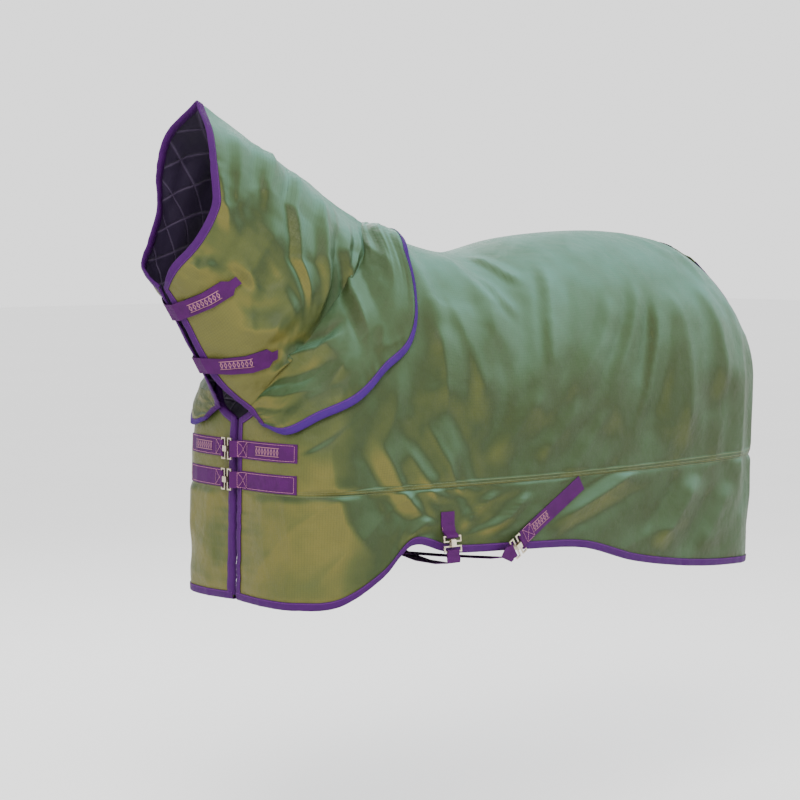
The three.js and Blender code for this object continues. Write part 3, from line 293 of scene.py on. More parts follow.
# Folds of the neck cover by (column, row): round the neck, and the deep one where it turns over the shoulder.
COVER_FOLDS = on_chart(cover_chart, [
    ([(5.7, .45), (4.5, .5), (3.5, .48), (2.9, .4)], .02, .007, .7),
    ([(5.8, .85), (4.6, .9), (3.8, .95)], .018, .006, .7),
    ([(5.9, 1.05), (4.3, 1), (3.5, 1.05)], .018, .008, .6),
    ([(5.9, 1.42), (4.25, 1.43), (3.3, 1.7), (2.8, 2.5)], .022, .015, .5),
    ([(5.7, 1.75), (4.65, 1.85), (3.9, 2.05), (3.4, 2.5), (3.1, 2.85)], .024, .017, 1.3),
    ([(5.8, 2.4), (4.6, 2.45), (4.2, 3.3), (3.9, 5)], .022, .012, .7),
    ([(5.9, 2.05), (5.2, 2.1), (4.6, 2.2)], .018, .008, .8),
    ([(3.75, 1.35), (2.9, 1.23), (2.05, 1.18), (1.5, 1.35)], .022, .012, 1.4),
    ([(2.7, 2), (2, 1.95), (1.5, 2)], .026, .01, 1.4),
    ([(3.6, 4.1), (2.85, 3.7), (2.3, 2.9), (1.3, 2.4)], .036, .018, .6),
    ([(4.4, .12), (3.3, .22), (2.5, .55)], .02, .006, 1),
    ([(1.45, .15), (1.4, .4), (1.8, .6)], .016, .005, 1),
    ([(5.2, 3.1), (5.15, 4), (5.2, 4.7)], .016, .005, 1),
    ([(1.1, 1.5), (1.65, 1.88), (2.3, 2.1)], .02, .007, 1),
    ([(.9, 2.9), (1.6, 4.2), (2.4, 5)], .03, .006, 1),
    ([(3, 3.6), (3.1, 4.4), (3, 5.2)], .035, .006, 1),
    ([(5.6, 2.7), (4.9, 2.8), (4.3, 2.85)], .016, .008, .7),
])


def creases(x, y, seed, sharp=3):
    """Thin crests between soft hollows, as on a stiff cloth that was folded before."""
    return (1 - np.abs(noise(x, y, seed, 2))) ** sharp


def puckers(along, distance, seed, spacing=0.02, reach=0.045, height=0.0022):
    """Little gathers that run in from a sewn edge and fade out."""
    wave = noise(along / spacing, distance / 0.12 + seed, seed, 2)
    return height * wave * np.exp(-np.maximum(distance, 0) / reach)


# Where the belly straps lie on each side, in metres along the body and up from the origin.
FRONT_STRAP_Y, OFF_REAR_STRAP_Y, OFF_FRONT_STRAP_Y = -0.065, 0.19, -0.063
REAR_STRAP_Y, REAR_STRAP_Z, REAR_STRAP_RISE, REAR_STRAP_RUN = 0.375, -0.605, 0.155, 0.215
STRAP_TOP_Z = -0.58
CHEST_STRAPS_END = 2.35  # the station past which no chest strap reaches


def beside(y, line, half):
    """1 on a line, falling off at half its width away."""
    return np.exp(-(((y - line) / half) ** 4))


def body_height(u, v, side):
    """How far the cloth stands off its fitted form, with folds only where nothing is sewn or laid on it."""
    u, v = np.broadcast_arrays(np.asarray(u, float), np.asarray(v, float))
    x, y = body_chart(u, v)
    mirror, seed = (1, 0) if side > 0 else (0.86, 100)
    h = fold_field(x, y + (0 if side > 0 else 0.012), BODY_FOLDS) * mirror
    h = h + 0.0026 * noise(x * 5 + 2 * y, y * 2.6, 11 + seed) * smooth(v / 0.12)
    h = h + 0.0012 * noise(x * 16 + 5 * y, y * 7, 23 + seed) * smooth(v / 0.12)
    bend = 0.5 * noise(x * 2, y * 2, 29 + seed)
    h = h + 0.0042 * creases(x * 3.4 + 2.2 * y + bend, y * 1.7 - bend, 37 + seed) * smooth((v - 0.1) / 0.2)
    hem = (1 - v) * BODY_ROWS
    seam = np.abs(v - SEAM_V) * BODY_ROWS
    h = h * smooth(hem / 0.06 + 0.25) + puckers(x, hem, 31) + puckers(x, seam, 41, 0.026, 0.03, 0.0016)
    h = h * (1 - 0.75 * np.exp(-(seam / 0.012) ** 2))
    front, rear = x, FLANK_RUN[-1] - x
    h = h * smooth(front / 0.05 + 0.1) * smooth(rear / 0.05 + 0.1)
    h = h + puckers(y, rear, 51) + puckers(y, front, 61)
    place = body(u, v)
    py, pz = place[..., 1], place[..., 2]
    # Flat where the chest straps are sewn, where the short belly straps lie and under the tail flap's seam.
    low_side = smooth((STRAP_TOP_Z - pz) / 0.03)
    rear_line = REAR_STRAP_Y + (pz - REAR_STRAP_Z) / REAR_STRAP_RISE * REAR_STRAP_RUN
    flat = smooth((CHEST_STRAPS_END - u) / 0.4) * smooth((0.62 + pz) / 0.03) * smooth((-0.44 - pz) / 0.03)
    if side > 0:
        flat = np.maximum(flat, beside(py, FRONT_STRAP_Y, 0.05) * smooth((-0.6 - pz) / 0.04))
        flat = np.maximum(flat, beside(py, rear_line, 0.06) * low_side)
    else:
        flat = np.maximum(flat, beside(py, OFF_REAR_STRAP_Y, 0.05) * low_side)
        flat = np.maximum(flat, beside(py, OFF_FRONT_STRAP_Y, 0.05) * low_side)
    flat = np.maximum(flat, smooth((u - 12) / 0.35) * smooth((0.3 - v) / 0.06))
    h = h * (1 - flat)
    # Under the neck cover the cloth lies close to its form.
    edge_u = np.interp(v, [0, 0.2, 0.35, 0.5], [7.2, 5.9, 4.6, 2.2])
    under = smooth((edge_u - u) / 0.5) * smooth((0.52 - v) / 0.05)
    return np.clip(h * (1 - under) * smooth(v / 0.05), -0.0035, 0.024)


def cover_height(a, r, side):
    a, r = np.broadcast_arrays(np.asarray(a, float), np.asarray(r, float))
    x, y = cover_chart(a, r)
    off = 0 if side > 0 else 1
    h = fold_field(x, y + 0.01 * off, COVER_FOLDS) * (1 - 0.15 * off)
    seed = 100 * off
    h = h + 0.002 * noise(x * 7 + 2, y * 5, 71 + seed) + 0.001 * noise(x * 18, y * 14 + 3, 73 + seed)
    bend = 0.5 * noise(x * 3, y * 3, 75 + seed)
    h = h + 0.0045 * creases(x * 4 + 2.5 * y + bend, y * 5 - bend, 77 + seed)
    h = h * smooth((CREST - a) / 0.5)
    h = h + 0.0065 * noise(y * 11, 0 * y, 79) * (1 - smooth((CREST - a) / 1.4))
    face, rear, throat = y, (6 - r) * 0.09, x
    h = h * smooth(face / 0.04 + 0.12) * smooth(rear / 0.06 + 0.12) * smooth(throat / 0.05 + 0.1)
    h = h + puckers(x, face, 81, 0.018, 0.03, 0.0016) + puckers(x, rear, 91, 0.018, 0.04, 0.0022)
    h = h + puckers(y, throat, 93, 0.02, 0.03, 0.0014)
    tab = np.zeros(a.shape)
    for row, slope in ((0.7, 0.22), (1.72, 0.38)):
        tab = np.maximum(tab, np.exp(-(((r - row - slope * a) / 0.28) ** 4)) * smooth((2.1 - a) / 0.3))
    low = np.where(r > 3, -0.002, -0.004)
    return np.clip(h * (1 - tab), low, 0.022)


def on_body(u, v, height, side=1):
    p = body(u, v) + body_normal(u, v) * (np.asarray(height) + body_height(u, v, side))[..., None]
    return p * (side, 1, 1)


def on_cover(a, r, height, side=1):
    p = cover(a, r) + cover_normal(a, r) * (np.asarray(height) + cover_height(a, r, side))[..., None]
    p[..., 0] = np.where(np.asarray(a) >= CREST, 0, p[..., 0])
    return p * (side, 1, 1)


# ---- Meshes ----

def grid_faces(rows, columns):
    i, j = np.meshgrid(np.arange(rows - 1), np.arange(columns - 1), indexing="ij")
    a = i * columns + j
    b = a + columns
    return np.stack([a, b, b + 1, a + 1], axis=-1).reshape(-1, 4)


def make_mesh(name, points, faces, uv, material, flip=False):
    """A smooth-shaded object from points, quads and a UV in metres for each point."""
    faces = faces[:, ::-1] if flip else faces
    mesh = bpy.data.meshes.new(name)
    mesh.vertices.add(len(points))
    mesh.vertices.foreach_set("co", np.asarray(points, np.float32).ravel())
    mesh.loops.add(faces.size)
    mesh.loops.foreach_set("vertex_index", faces.ravel().astype(np.int32))
    mesh.polygons.add(len(faces))
    mesh.polygons.foreach_set("loop_start", np.arange(0, faces.size, 4, dtype=np.int32))
    mesh.update(calc_edges=True)
    mesh.polygons.foreach_set("use_smooth", np.ones(len(faces), bool))
    layer = mesh.uv_layers.new(name="UVMap")
    layer.data.foreach_set("uv", np.asarray(uv, np.float32)[faces.ravel()].ravel())
    obj = bpy.data.objects.new(name, mesh)
    bpy.context.collection.objects.link(obj)
    obj.data.materials.append(material)
    return obj


def sweep(name, sections, run, material, flip=False):
    """A closed strip from sections (count, ring, 3), with ends filled by quads between its two long sides."""
    count, ring = sections.shape[:2]
    points = sections.reshape(-1, 3)
    i, j = np.meshgrid(np.arange(count - 1), np.arange(ring), indexing="ij")
    k = (j + 1) % ring
    here, there = i * ring, (i + 1) * ring
    faces = np.stack([here + j, there + j, there + k, here + k], axis=-1).reshape(-1, 4)
    half = ring // 2
    cap = np.array([[n, n + 1, ring - 2 - n, ring - 1 - n] for n in range(half - 1)])
    faces = np.vstack([faces, cap, cap[:, ::-1] + (count - 1) * ring])
    around = np.linalg.norm(np.diff(sections[0], axis=0, append=sections[0][:1]), axis=1)
    across = np.concatenate([[0], np.cumsum(around)[:-1]])
    uv = np.stack(np.meshgrid(run, across, indexing="ij"), axis=-1).reshape(-1, 2)
    return make_mesh(name, points, faces, uv, material, flip)


def run_of(points):
    return np.concatenate([[0], np.cumsum(np.linalg.norm(np.diff(points, axis=0), axis=1))])


# ---- Materials ----

CLOTH_GLOSS = 0.14  # the specular level of woven trims


def colour(r, g, b):
    """An sRGB colour, 0 to 255, as Blender's linear one."""
    c = np.array((r, g, b)) / 255
    return (*np.where(c <= 0.04045, c / 12.92, ((c + 0.055) / 1.055) ** 2.4), 1)


class Shader:
    """Short names for the nodes of one material."""

    def __init__(self, name):
        self.material = bpy.data.materials.new(name)
        self.material.use_nodes = True
        self.tree = self.material.node_tree
        self.bsdf = self.tree.nodes["Principled BSDF"]

    def node(self, kind, **settings):
        n = self.tree.nodes.new(kind)
        for key, value in settings.items():
            if key in n.bl_rna.properties:
                setattr(n, key, value)
            else:
                self.feed(n.inputs[key], value)
        return n

    def feed(self, socket, value):
        if isinstance(value, bpy.types.NodeSocket):
            self.tree.links.new(value, socket)
        else:
            socket.default_value = value

    def math(self, operation, *values, clamp=False):
        n = self.node("ShaderNodeMath", operation=operation, use_clamp=clamp)
        for k, v in enumerate(values):
            self.feed(n.inputs[k], v)
        return n.outputs[0]

    def times(self, a, b):
        return self.math("MULTIPLY", a, b)

    def plus(self, a, b, clamp=False):
        return self.math("ADD", a, b, clamp=clamp)

    def minus(self, a, b):
        return self.math("SUBTRACT", a, b)

    def mix(self, share, a, b):
        n = self.node("ShaderNodeMix", data_type="RGBA")
        for k, v in ((0, share), (6, a), (7, b)):
            self.feed(n.inputs[k], v)
        return n.outputs[2]

    def noise(self, vector, scale, detail=3):
        n = self.node("ShaderNodeTexNoise", Scale=scale, Detail=detail)
        self.feed(n.inputs["Vector"], vector)
        return n.outputs["Fac"]

    def ramp(self, value, stops):
        n = self.node("ShaderNodeValToRGB")
        self.feed(n.inputs[0], value)
        while len(n.color_ramp.elements) < len(stops):
            n.color_ramp.elements.new(0.5)
        for element, (place, shade) in zip(n.color_ramp.elements, stops):
            element.position, element.color = place, shade
        return n.outputs[0]

    def stripes(self, coordinate, spacing, sharp=2.0):
        """Peaks of 1 once in each spacing."""
        wave = self.math("SINE", self.math("MULTIPLY", coordinate, 2 * math.pi / spacing))
        return self.math("POWER", self.math("MULTIPLY_ADD", wave, 0.5, 0.5), sharp)

    def uv(self):
        return self.split(self.node("ShaderNodeUVMap", uv_map="UVMap").outputs[0])

    def place(self):
        return self.node("ShaderNodeTexCoord").outputs["Object"]

    def split(self, vector):
        n = self.node("ShaderNodeSeparateXYZ")
        self.feed(n.inputs[0], vector)
        return n.outputs

    def bump(self, height, distance, strength=1.0, under=None):
        n = self.node("ShaderNodeBump", Distance=distance, Strength=strength)
        self.feed(n.inputs["Height"], height)
        if under is not None:
            self.feed(n.inputs["Normal"], under)
        return n.outputs[0]

    def finish(self, **inputs):
        for key, value in inputs.items():
            self.feed(self.bsdf.inputs[key.replace("_", " ")], value)
        return self.material


def near_line(s, coordinate, place, half):
    """1 within half of a place along a coordinate, else 0."""
    return s.math("LESS_THAN", s.math("ABSOLUTE", s.minus(coordinate, place)), half)


def stitch_rows(s, along, across, lines, pitch, gap):
    """1 on rows of stitches at the given distances across a cloth, with a gap in each pitch along it."""
    rows = near_line(s, across, lines[0], 0.0007)
    for line in lines[1:]:
        rows = s.math("MAXIMUM", rows, near_line(s, across, line, 0.0007))
    return s.times(rows, s.math("GREATER_THAN", s.math("FRACT", s.math("DIVIDE", along, pitch)), gap))


def painted_light_shot_cloth(name, lines=(), dark=1.0):
    """Shot ripstop with painted light: its colour follows the way each face is turned, teal as a painted sky
    reflection where it is turned up or back, olive upright, and gold as painted light where it is turned to
    the head or the ground.
    lines are rows of stitches at these distances across the cloth, in metres of UV."""
    s = Shader(name)
    painted_light_facing = s.split(s.node("ShaderNodeNewGeometry").outputs["Normal"])
    u, v, _ = s.uv()
    # Painted light: the world direction of each face picks teal for a painted sky reflection on faces turned
    # up or back, and gold for painted light on faces turned to the head or the ground.
    held = s.math("MINIMUM", s.math("MAXIMUM", painted_light_facing[1], -0.46), 0.42)
    painted_light_lengthways = s.plus(s.times(held, 0.64), s.times(s.math("MAXIMUM", held, 0.0), -0.3))
    tone = s.math("MULTIPLY_ADD", painted_light_facing[2], 0.62, painted_light_lengthways)
    place = s.place()
    cloud = s.minus(s.noise(place, 7, 3), 0.5)
    tone = s.plus(s.math("MULTIPLY_ADD", cloud, 0.34, tone), 0.47, clamp=True)
    d = lambda r, g, b: colour(r * dark, g * dark, b * dark)
    base = s.ramp(tone, [(0.0, d(84, 82, 40)), (0.14, d(90, 86, 40)), (0.28, d(66, 72, 34)),
                         (0.44, d(42, 54, 26)), (0.58, d(50, 70, 44)), (0.78, d(66, 96, 76)),
                         (1.0, d(78, 120, 108))])
    rib = s.math("MAXIMUM", s.stripes(u, 0.0065, 24), s.stripes(v, 0.0065, 24))
    weave = s.times(s.stripes(u, 0.0011, 1), s.stripes(v, 0.0011, 1))
    base = s.mix(s.times(rib, 0.3), base, d(30, 44, 26))
    base = s.mix(s.times(weave, 0.06), base, d(150, 160, 116))
    fine = s.noise(place, 55, 4)
    crumple = s.bump(s.noise(place, 13, 2), 0.02, 0.5)
    crumple = s.bump(fine, 0.0035, 0.6, crumple)
    surface = s.bump(s.plus(rib, s.times(weave, 0.4)), 0.0003, 0.6, crumple)
    if lines:
        rows = stitch_rows(s, u, v, lines, 0.0042, 0.28)
        base = s.mix(rows, base, colour(96, 104, 70))
        surface = s.bump(rows, 0.0006, 0.8, surface)
    return s.finish(Base_Color=base, Roughness=s.math("MULTIPLY_ADD", fine, 0.16, 0.36), Normal=surface,
                    Specular_IOR_Level=0.16)


def smooth_lining(name, tint):
    s = Shader(name)
    place = s.place()
    u, v, _ = s.uv()
    quilt = s.math("MAXIMUM", *(s.stripes(slant, 0.11, 60) for slant in (s.plus(u, v), s.minus(u, v))))
    weave = s.times(s.stripes(u, 0.0009, 1), s.stripes(v, 0.0009, 1))
    base = s.mix(s.noise(place, 9, 3), colour(*tint), colour(*(c * 1.5 + 4 for c in tint)))
    base = s.mix(s.times(quilt, 0.35), base, colour(92, 78, 104))
    surface = s.bump(s.minus(s.noise(place, 26, 3), quilt), 0.003, 0.6)
    surface = s.bump(weave, 0.0002, 0.5, surface)
    return s.finish(Base_Color=base, Roughness=0.5, Normal=surface, Specular_IOR_Level=0.2)


def ribbon(name, tint, light, edge_at):
    """Woven binding: fine ribs across it and a row of stitches along it."""
    s = Shader(name)
    u, v, _ = s.uv()
    place = s.place()
    ribs = s.stripes(u, 0.0016, 1)
    cross = s.stripes(v, 0.0022, 1)
    cloud = s.noise(place, 30, 3)
    base = s.mix(s.math("MULTIPLY_ADD", cloud, 0.7, -0.1, clamp=True), colour(*tint), colour(*light))
    base = s.mix(s.times(ribs, 0.25), base, colour(*(c * 0.55 for c in tint)))
    height = s.plus(s.times(ribs, 0.7), cross)
    surface = s.bump(s.noise(place, 90, 2), 0.002, 0.4)
    surface = s.bump(height, 0.00035, 0.7, surface)
    row = stitch_rows(s, u, v, (edge_at,), 0.0045, 0.3)
    base = s.mix(row, base, colour(96, 44, 116))
    surface = s.bump(row, 0.0007, 0.8, surface)
    return s.finish(Base_Color=base, Roughness=0.62, Normal=surface, Specular_IOR_Level=CLOTH_GLOSS)


def webbing_material(name, tint, light):
    """Flat webbing seen in the object's own coordinates: a twill of small ribs."""
    s = Shader(name)
    place = s.place()
    _, y, z = s.split(place)
    ribs = s.times(*(s.stripes(slant, 0.0024, 1) for slant in (s.plus(y, z), s.minus(y, z))))
    base = s.mix(s.noise(place, 40, 3), colour(*tint), colour(*light))
    base = s.mix(s.times(ribs, 0.3), base, colour(*(c * 0.5 for c in tint)))
    surface = s.bump(s.noise(place, 120, 2), 0.0015, 0.35)
    surface = s.bump(ribs, 0.0005, 0.8, surface)
    return s.finish(Base_Color=base, Roughness=0.66, Normal=surface, Specular_IOR_Level=CLOTH_GLOSS)


def pile(name, tint, light):
    """Touch-fastener pile: a fine dark nap."""
    s = Shader(name)
    place = s.place()
    nap = s.noise(place, 900, 3)
    base = s.mix(nap, colour(*tint), colour(*light))
    return s.finish(Base_Color=base, Roughness=0.9, Normal=s.bump(nap, 0.0012, 0.9), Specular_IOR_Level=0.2,
                    Sheen_Weight=0.6, Sheen_Roughness=0.6, Sheen_Tint=colour(*light))


def worn_metal(name, tint, light):
    s = Shader(name)
    place = s.place()
    cloud = s.noise(place, 55, 4)
    scratches = s.noise(place, 420, 2)
    base = s.mix(cloud, colour(*tint), colour(*light))
    base = s.mix(s.times(s.math("GREATER_THAN", scratches, 0.62), 0.25), base, colour(96, 84, 66))
    return s.finish(Base_Color=base, Metallic=1.0, Roughness=s.math("MULTIPLY_ADD", cloud, 0.3, 0.16),
                    Normal=s.bump(scratches, 0.0002, 0.35))


def thread_material(name, tint):
    s = Shader(name)
    twist = s.noise(s.place(), 1500, 1)
    return s.finish(Base_Color=s.mix(twist, colour(*tint), colour(*(min(c * 1.15 + 8, 255) for c in tint))),
                    Roughness=0.6, Normal=s.bump(twist, 0.0003, 0.6))


SEAM_LINE = SEAM_V * BODY_ROWS
# Both ripstops carry painted light and a painted sky reflection, picked by the way each face is turned.
SHELL = painted_light_shot_cloth("shell_ripstop_painted_light", (SEAM_LINE - 0.004, SEAM_LINE - 0.011, SEAM_LINE + 0.006))
COVER_CLOTH = painted_light_shot_cloth("cover_ripstop_painted_light")
LINING_CLOTH = smooth_lining("lining_cloth", (26, 20, 34))
BINDING_TRIM = ribbon("purple_binding", (54, 8, 76), (72, 14, 92), 0.0028)
SHOULDER_TRIM = ribbon("shoulder_binding", (50, 12, 92), (66, 22, 116), 0.0028)
PURPLE_WEB = webbing_material("purple_webbing", (52, 8, 60), (74, 14, 84))
TAIL_TRIM = ribbon("tail_binding", (54, 8, 76), (72, 14, 92), 0.0028)
NAP = pile("fastener_pile", (14, 12, 18), (44, 38, 52))
DARK_TAPE = webbing_material("dark_tape", (20, 16, 26), (44, 36, 54))
METAL = worn_metal("worn_metal", (168, 152, 122), (214, 206, 190))


# ---- Outer panels and linings ----

def merge_close(obj, distance=1e-5):
    bm = bmesh.new()
    bm.from_mesh(obj.data)
    bmesh.ops.remove_doubles(bm, verts=[v for v in bm.verts if abs(v.co.x) < distance], dist=distance)
    bm.to_mesh(obj.data)
    bm.free()


def solidify(obj, thickness):
    m = obj.modifiers.new("thickness", "SOLIDIFY")
    m.thickness, m.offset = thickness, -1


def two_sided(name, at, chart, first, second, material, thickness):
    """A cloth over both sides, joined where the two halves meet: at(first, second, side) gives its points."""
    g, w = np.meshgrid(first, second, indexing="ij")
    uv = np.stack(chart(g, w), axis=-1).reshape(-1, 2)
    f = grid_faces(*g.shape)
    near, off = at(g, w, 1).reshape(-1, 3), at(g, w, -1).reshape(-1, 3)
    faces = np.vstack([f, f[:, ::-1] + len(near)])
    obj = make_mesh(name, np.vstack([near, off]), faces, np.vstack([uv, uv]), material, True)
    merge_close(obj)
    solidify(obj, thickness)
    return obj


def one_sided(name, at, chart, first, second, side, material, thickness):
    g, w = np.meshgrid(first, second, indexing="ij")
    uv = np.stack(chart(g, w), axis=-1).reshape(-1, 2)
    obj = make_mesh(name, at(g, w, side).reshape(-1, 3), grid_faces(*g.shape), uv, material, side > 0)
    solidify(obj, thickness)
    return obj


COARSE = 1
EDGE_IN = 0.012  # how far inside its edge, in stations, a cloth stops within its binding
STATIONS = np.linspace(EDGE_IN, LAST - EDGE_IN, 250 // COARSE)
LAP = 0.0016  # the upper panel's folded edge stands this far over the lower panel
LAP_ROW = 0.012


def upper_cloth(u, v, side):
    lap = LAP * smooth((v - SEAM_V + LAP_ROW) / 0.003) * smooth((u - 2.3) / 0.3)
    return on_body(u, v, OUTER_TOP + lap, side)


def lower_cloth(u, v, side):
    return on_body(u, v, OUTER_TOP - 0.0004, side)


UPPER_ROWS = np.concatenate([np.linspace(0, SEAM_V - LAP_ROW - 0.002, 88 // COARSE),
                             np.linspace(SEAM_V - LAP_ROW, SEAM_V, 8)])
shell_upper = two_sided("shell_upper", upper_cloth, body_chart, STATIONS, UPPER_ROWS, SHELL, 0.0014)
shell_lower = {}
for word, side in (("near", 1), ("off", -1)):
    shell_lower[word] = one_sided(f"shell_lower_{word}", lower_cloth, body_chart, STATIONS,
                                  np.linspace(SEAM_V - 0.008, 0.995, 62 // COARSE), side, SHELL, 0.0014)
rug_lining = two_sided("rug_lining", lambda u, v, side: on_body(u, v, LINING, side), body_chart,
                       np.linspace(EDGE_IN, LAST - EDGE_IN, 200 // COARSE),
                       np.linspace(0, 0.995, 110 // COARSE), LINING_CLOTH, LINING)

COLLAR_COLUMNS = np.linspace(0.03, CREST, 136 // COARSE)
COLLAR_ROWS = np.linspace(0.02, 5.97, 172 // COARSE)
cover_shell = two_sided("cover_shell", lambda a, r, side: on_cover(a, r, COVER_TOP, side), cover_chart,
                        COLLAR_COLUMNS, COLLAR_ROWS, COVER_CLOTH, 0.0014)
cover_inside = two_sided("cover_inside", lambda a, r, side: on_cover(a, r, LINING, side), cover_chart,
                         np.linspace(0.03, CREST, 75 // COARSE), COLLAR_ROWS[::2], LINING_CLOTH, LINING)


# ---- Bindings ----

TAPE = 0.0012
GAP = 0.0005


def binding_profile(base, top):
    """(distance in from the edge, height) round the cross-section of a folded binding, outer side first."""
    w, high, low = BINDING_WIDTH, top + GAP, base - GAP
    top_out, low_out = high + TAPE, low - TAPE
    outer = [(w, top_out), (w - .005, top_out + .0003), (.006, top_out + .0003), (.0006, top_out - .0002),
             (-.0019, high - .0018), (-.0019, low + .0018), (.0006, low_out + .0002), (w, low_out)]
    inner = [(w, high), (w - .005, high + .0002), (.006, high + .0002), (.001, high - .0004),
             (-.0007, high - .0026), (-.0007, low + .0026), (.001, low + .0004), (w, low)]
    return outer + inner[::-1]


def edge_binding(name, place, base, top, material, flip):
    """A binding along an edge: place(distance in, height) gives the points along it, in metres."""
    sections = []
    outwards = unit(place(0.0, (base + top) / 2) - place(0.006, (base + top) / 2))
    for distance, height in binding_profile(base, top):
        points = place(max(distance, 0.0), height)
        sections.append(points + outwards * max(-distance, 0.0))
    sections = np.stack(sections, axis=1)
    return sweep(name, sections, run_of(sections[:, 0]), material, flip)


def row_metres(u, v):
    step = 0.01
    a, b = np.clip(v - step, 0, 1), np.clip(v + step, 0, 1)
    return np.linalg.norm(body(u, b) - body(u, a), axis=-1) / (b - a)


def station_metres(u, v):
    step = 0.05
    a, b = np.clip(u - step, 0, LAST), np.clip(u + step, 0, LAST)
    return np.linalg.norm(body(b, v) - body(a, v), axis=-1) / (b - a)


def body_edge(u, v, du, dv, side):
    """A place function for an edge of the rug that runs through (u, v); du and dv point into the cloth."""
    lu, lv = station_metres(u, v), row_metres(u, v)
    return lambda distance, height: on_body(np.clip(u + du * distance / lu, 0, LAST),
                                            np.clip(v + dv * distance / lv, 0, 1), height, side)


def rear_run():
    over = np.linspace(DOCK, LAST - 0.33, 26)
    down = np.linspace(0.026, 0.985, 190 // COARSE)
    z = np.zeros_like
    return (np.concatenate([over, [LAST], np.full_like(down, LAST)]), np.concatenate([z(over), [0], down]),
            np.concatenate([z(over), [-1], z(down) - 1]), np.concatenate([z(over) + 1, [1], z(down)]))


bindings = []
for word, side in (("near", 1), ("off", -1)):
    hem_u = np.linspace(0, LAST, 420 // COARSE)
    neck_u = np.linspace(0, WITHERS, 130 // COARSE)
    front_v = np.linspace(0.004, 0.988, 190 // COARSE)
    ones = np.ones_like
    runs = {
        "hem": (hem_u, ones(hem_u), 0 * hem_u, -ones(hem_u), 0.0004),
        "neckline": (neck_u, 0 * neck_u, 0 * neck_u, ones(neck_u), 0.0),
        "front_edge": (0 * front_v, front_v, ones(front_v), 0 * front_v, 0.0002),
        "rear_edge": (*rear_run(), 0.0002),
    }
    for edge, (u, v, du, dv, lift) in runs.items():
        turn = (edge in ("hem", "front_edge")) == (side > 0)
        b = edge_binding(f"trim_{edge}_{word}", body_edge(u, v, du, dv, side), -lift, OUTER_TOP + lift,
                         BINDING_TRIM, turn)
        bindings.append((b, f"{edge}_binding_{word}", "rug"))


def cover_metres(a, r):
    step = 0.05
    lo, hi = np.clip(a - step, 0, CREST), np.clip(a + step, 0, CREST)
    la = np.linalg.norm(cover(hi, r) - cover(lo, r), axis=-1) / (hi - lo)
    lo, hi = np.clip(r - step, 0, CREST), np.clip(r + step, 0, CREST)
    return la, np.linalg.norm(cover(a, hi) - cover(a, lo), axis=-1) / (hi - lo)


def cover_edge(a, r, da, dr, side):
    la, lr = cover_metres(a, r)

    def place(distance, height):
        columns, rows = (np.clip(t, 0, CREST) for t in (a + da * distance / la, r + dr * distance / lr))
        p = on_cover(columns, rows, height)
        p[..., 0] *= side
        return p
    return place


def over_crest(r, dr):
    """The edge at one end of the cover, up the near side and down the off side."""
    n = 130 // COARSE
    up = np.linspace(0, CREST, n)
    a = np.concatenate([up, up[-2::-1]])
    side = np.concatenate([np.ones(n), -np.ones(n - 1)])
    return cover_edge(a, np.full_like(a, r), 0 * a, np.full_like(a, dr), side)


for name, node, row, inwards, trim in (("face", "face", 0.0, 1.0, BINDING_TRIM),
                                       ("shoulder", "rear", 6.0, -1.0, SHOULDER_TRIM)):
    b = edge_binding(f"trim_cover_{name}", over_crest(row, inwards), -.0002, COVER_TOP + .0002, trim, row > 0)
    bindings.append((b, f"cover_{node}_binding", "neck_cover"))
for word, side in (("near", 1), ("off", -1)):
    r = np.linspace(0.06, 5.92, 190 // COARSE)
    throat = cover_edge(0 * r, r, np.ones_like(r), 0 * r, side)
    b = edge_binding(f"trim_cover_throat_{word}", throat, 0, COVER_TOP, BINDING_TRIM, side < 0)
    bindings.append((b, f"cover_throat_binding_{word}", "neck_cover"))


# ---- Tail flap ----

FLAP = 0.0024
FLAP_SEWN = [12.4, 12.7, 13]
FLAP_HANG = [((0, .955, -.135), (.34, .966, -.178)), ((0, 1.008, -.245), (.4, 1.006, -.28)),
             ((0, 1.034, -.36), (.43, 1.034, -.385)), ((0, 1.04, -.475), (.43, 1.04, -.49))]
FLAP_ROWS = len(FLAP_SEWN) + len(FLAP_HANG)
FLAP_HALF = 0.072


def flap_rows(share):
    """Points of the flap's rows, ahead to behind, at shares from -1 to 1 across it."""
    rows = []
    for n, u in enumerate(FLAP_SEWN):
        half = FLAP_HALF * (1 + 0.12 * n)
        us = np.full(share.shape, float(u))
        v = bisect(lambda t: body(us, t)[..., 0], half * np.abs(share), 0 * us, np.full_like(us, SIDE_V))
        v = np.where(share == 0, 0, v)
        p = body(us, v) + body_normal(us, v) * (OUTER_TOP + 0.0006 + 0.0008 * n * n)
        p[..., 0] *= np.where(share < 0, -1, 1)
        rows.append(p)
    round_down = 1 - np.cos(np.abs(share) * np.pi / 2)
    for middle, edge in FLAP_HANG:
        a, b = np.array(middle) * FORM, np.array(edge) * FORM
        y, z = (a[k] + (b[k] - a[k]) * round_down for k in (1, 2))
        rows.append(np.stack([b[0] * share, y, z], -1))
    return np.stack(rows)


def flap_point(share, n):
    share, n = np.broadcast_arrays(np.asarray(share, float), np.asarray(n, float))
    rows = flap_rows(share)
    p = np.concatenate([2 * rows[:1] - rows[1:2], rows, 2 * rows[-1:] - rows[-2:-1]])
    i = np.clip(n.astype(int), 0, FLAP_ROWS - 2)
    spots = tuple(np.indices(share.shape))
    corners = [p[(i + k,) + spots] for k in range(4)]
    return hermite(np.stack(corners + corners[-1:]), 0, (n - i)[..., None])


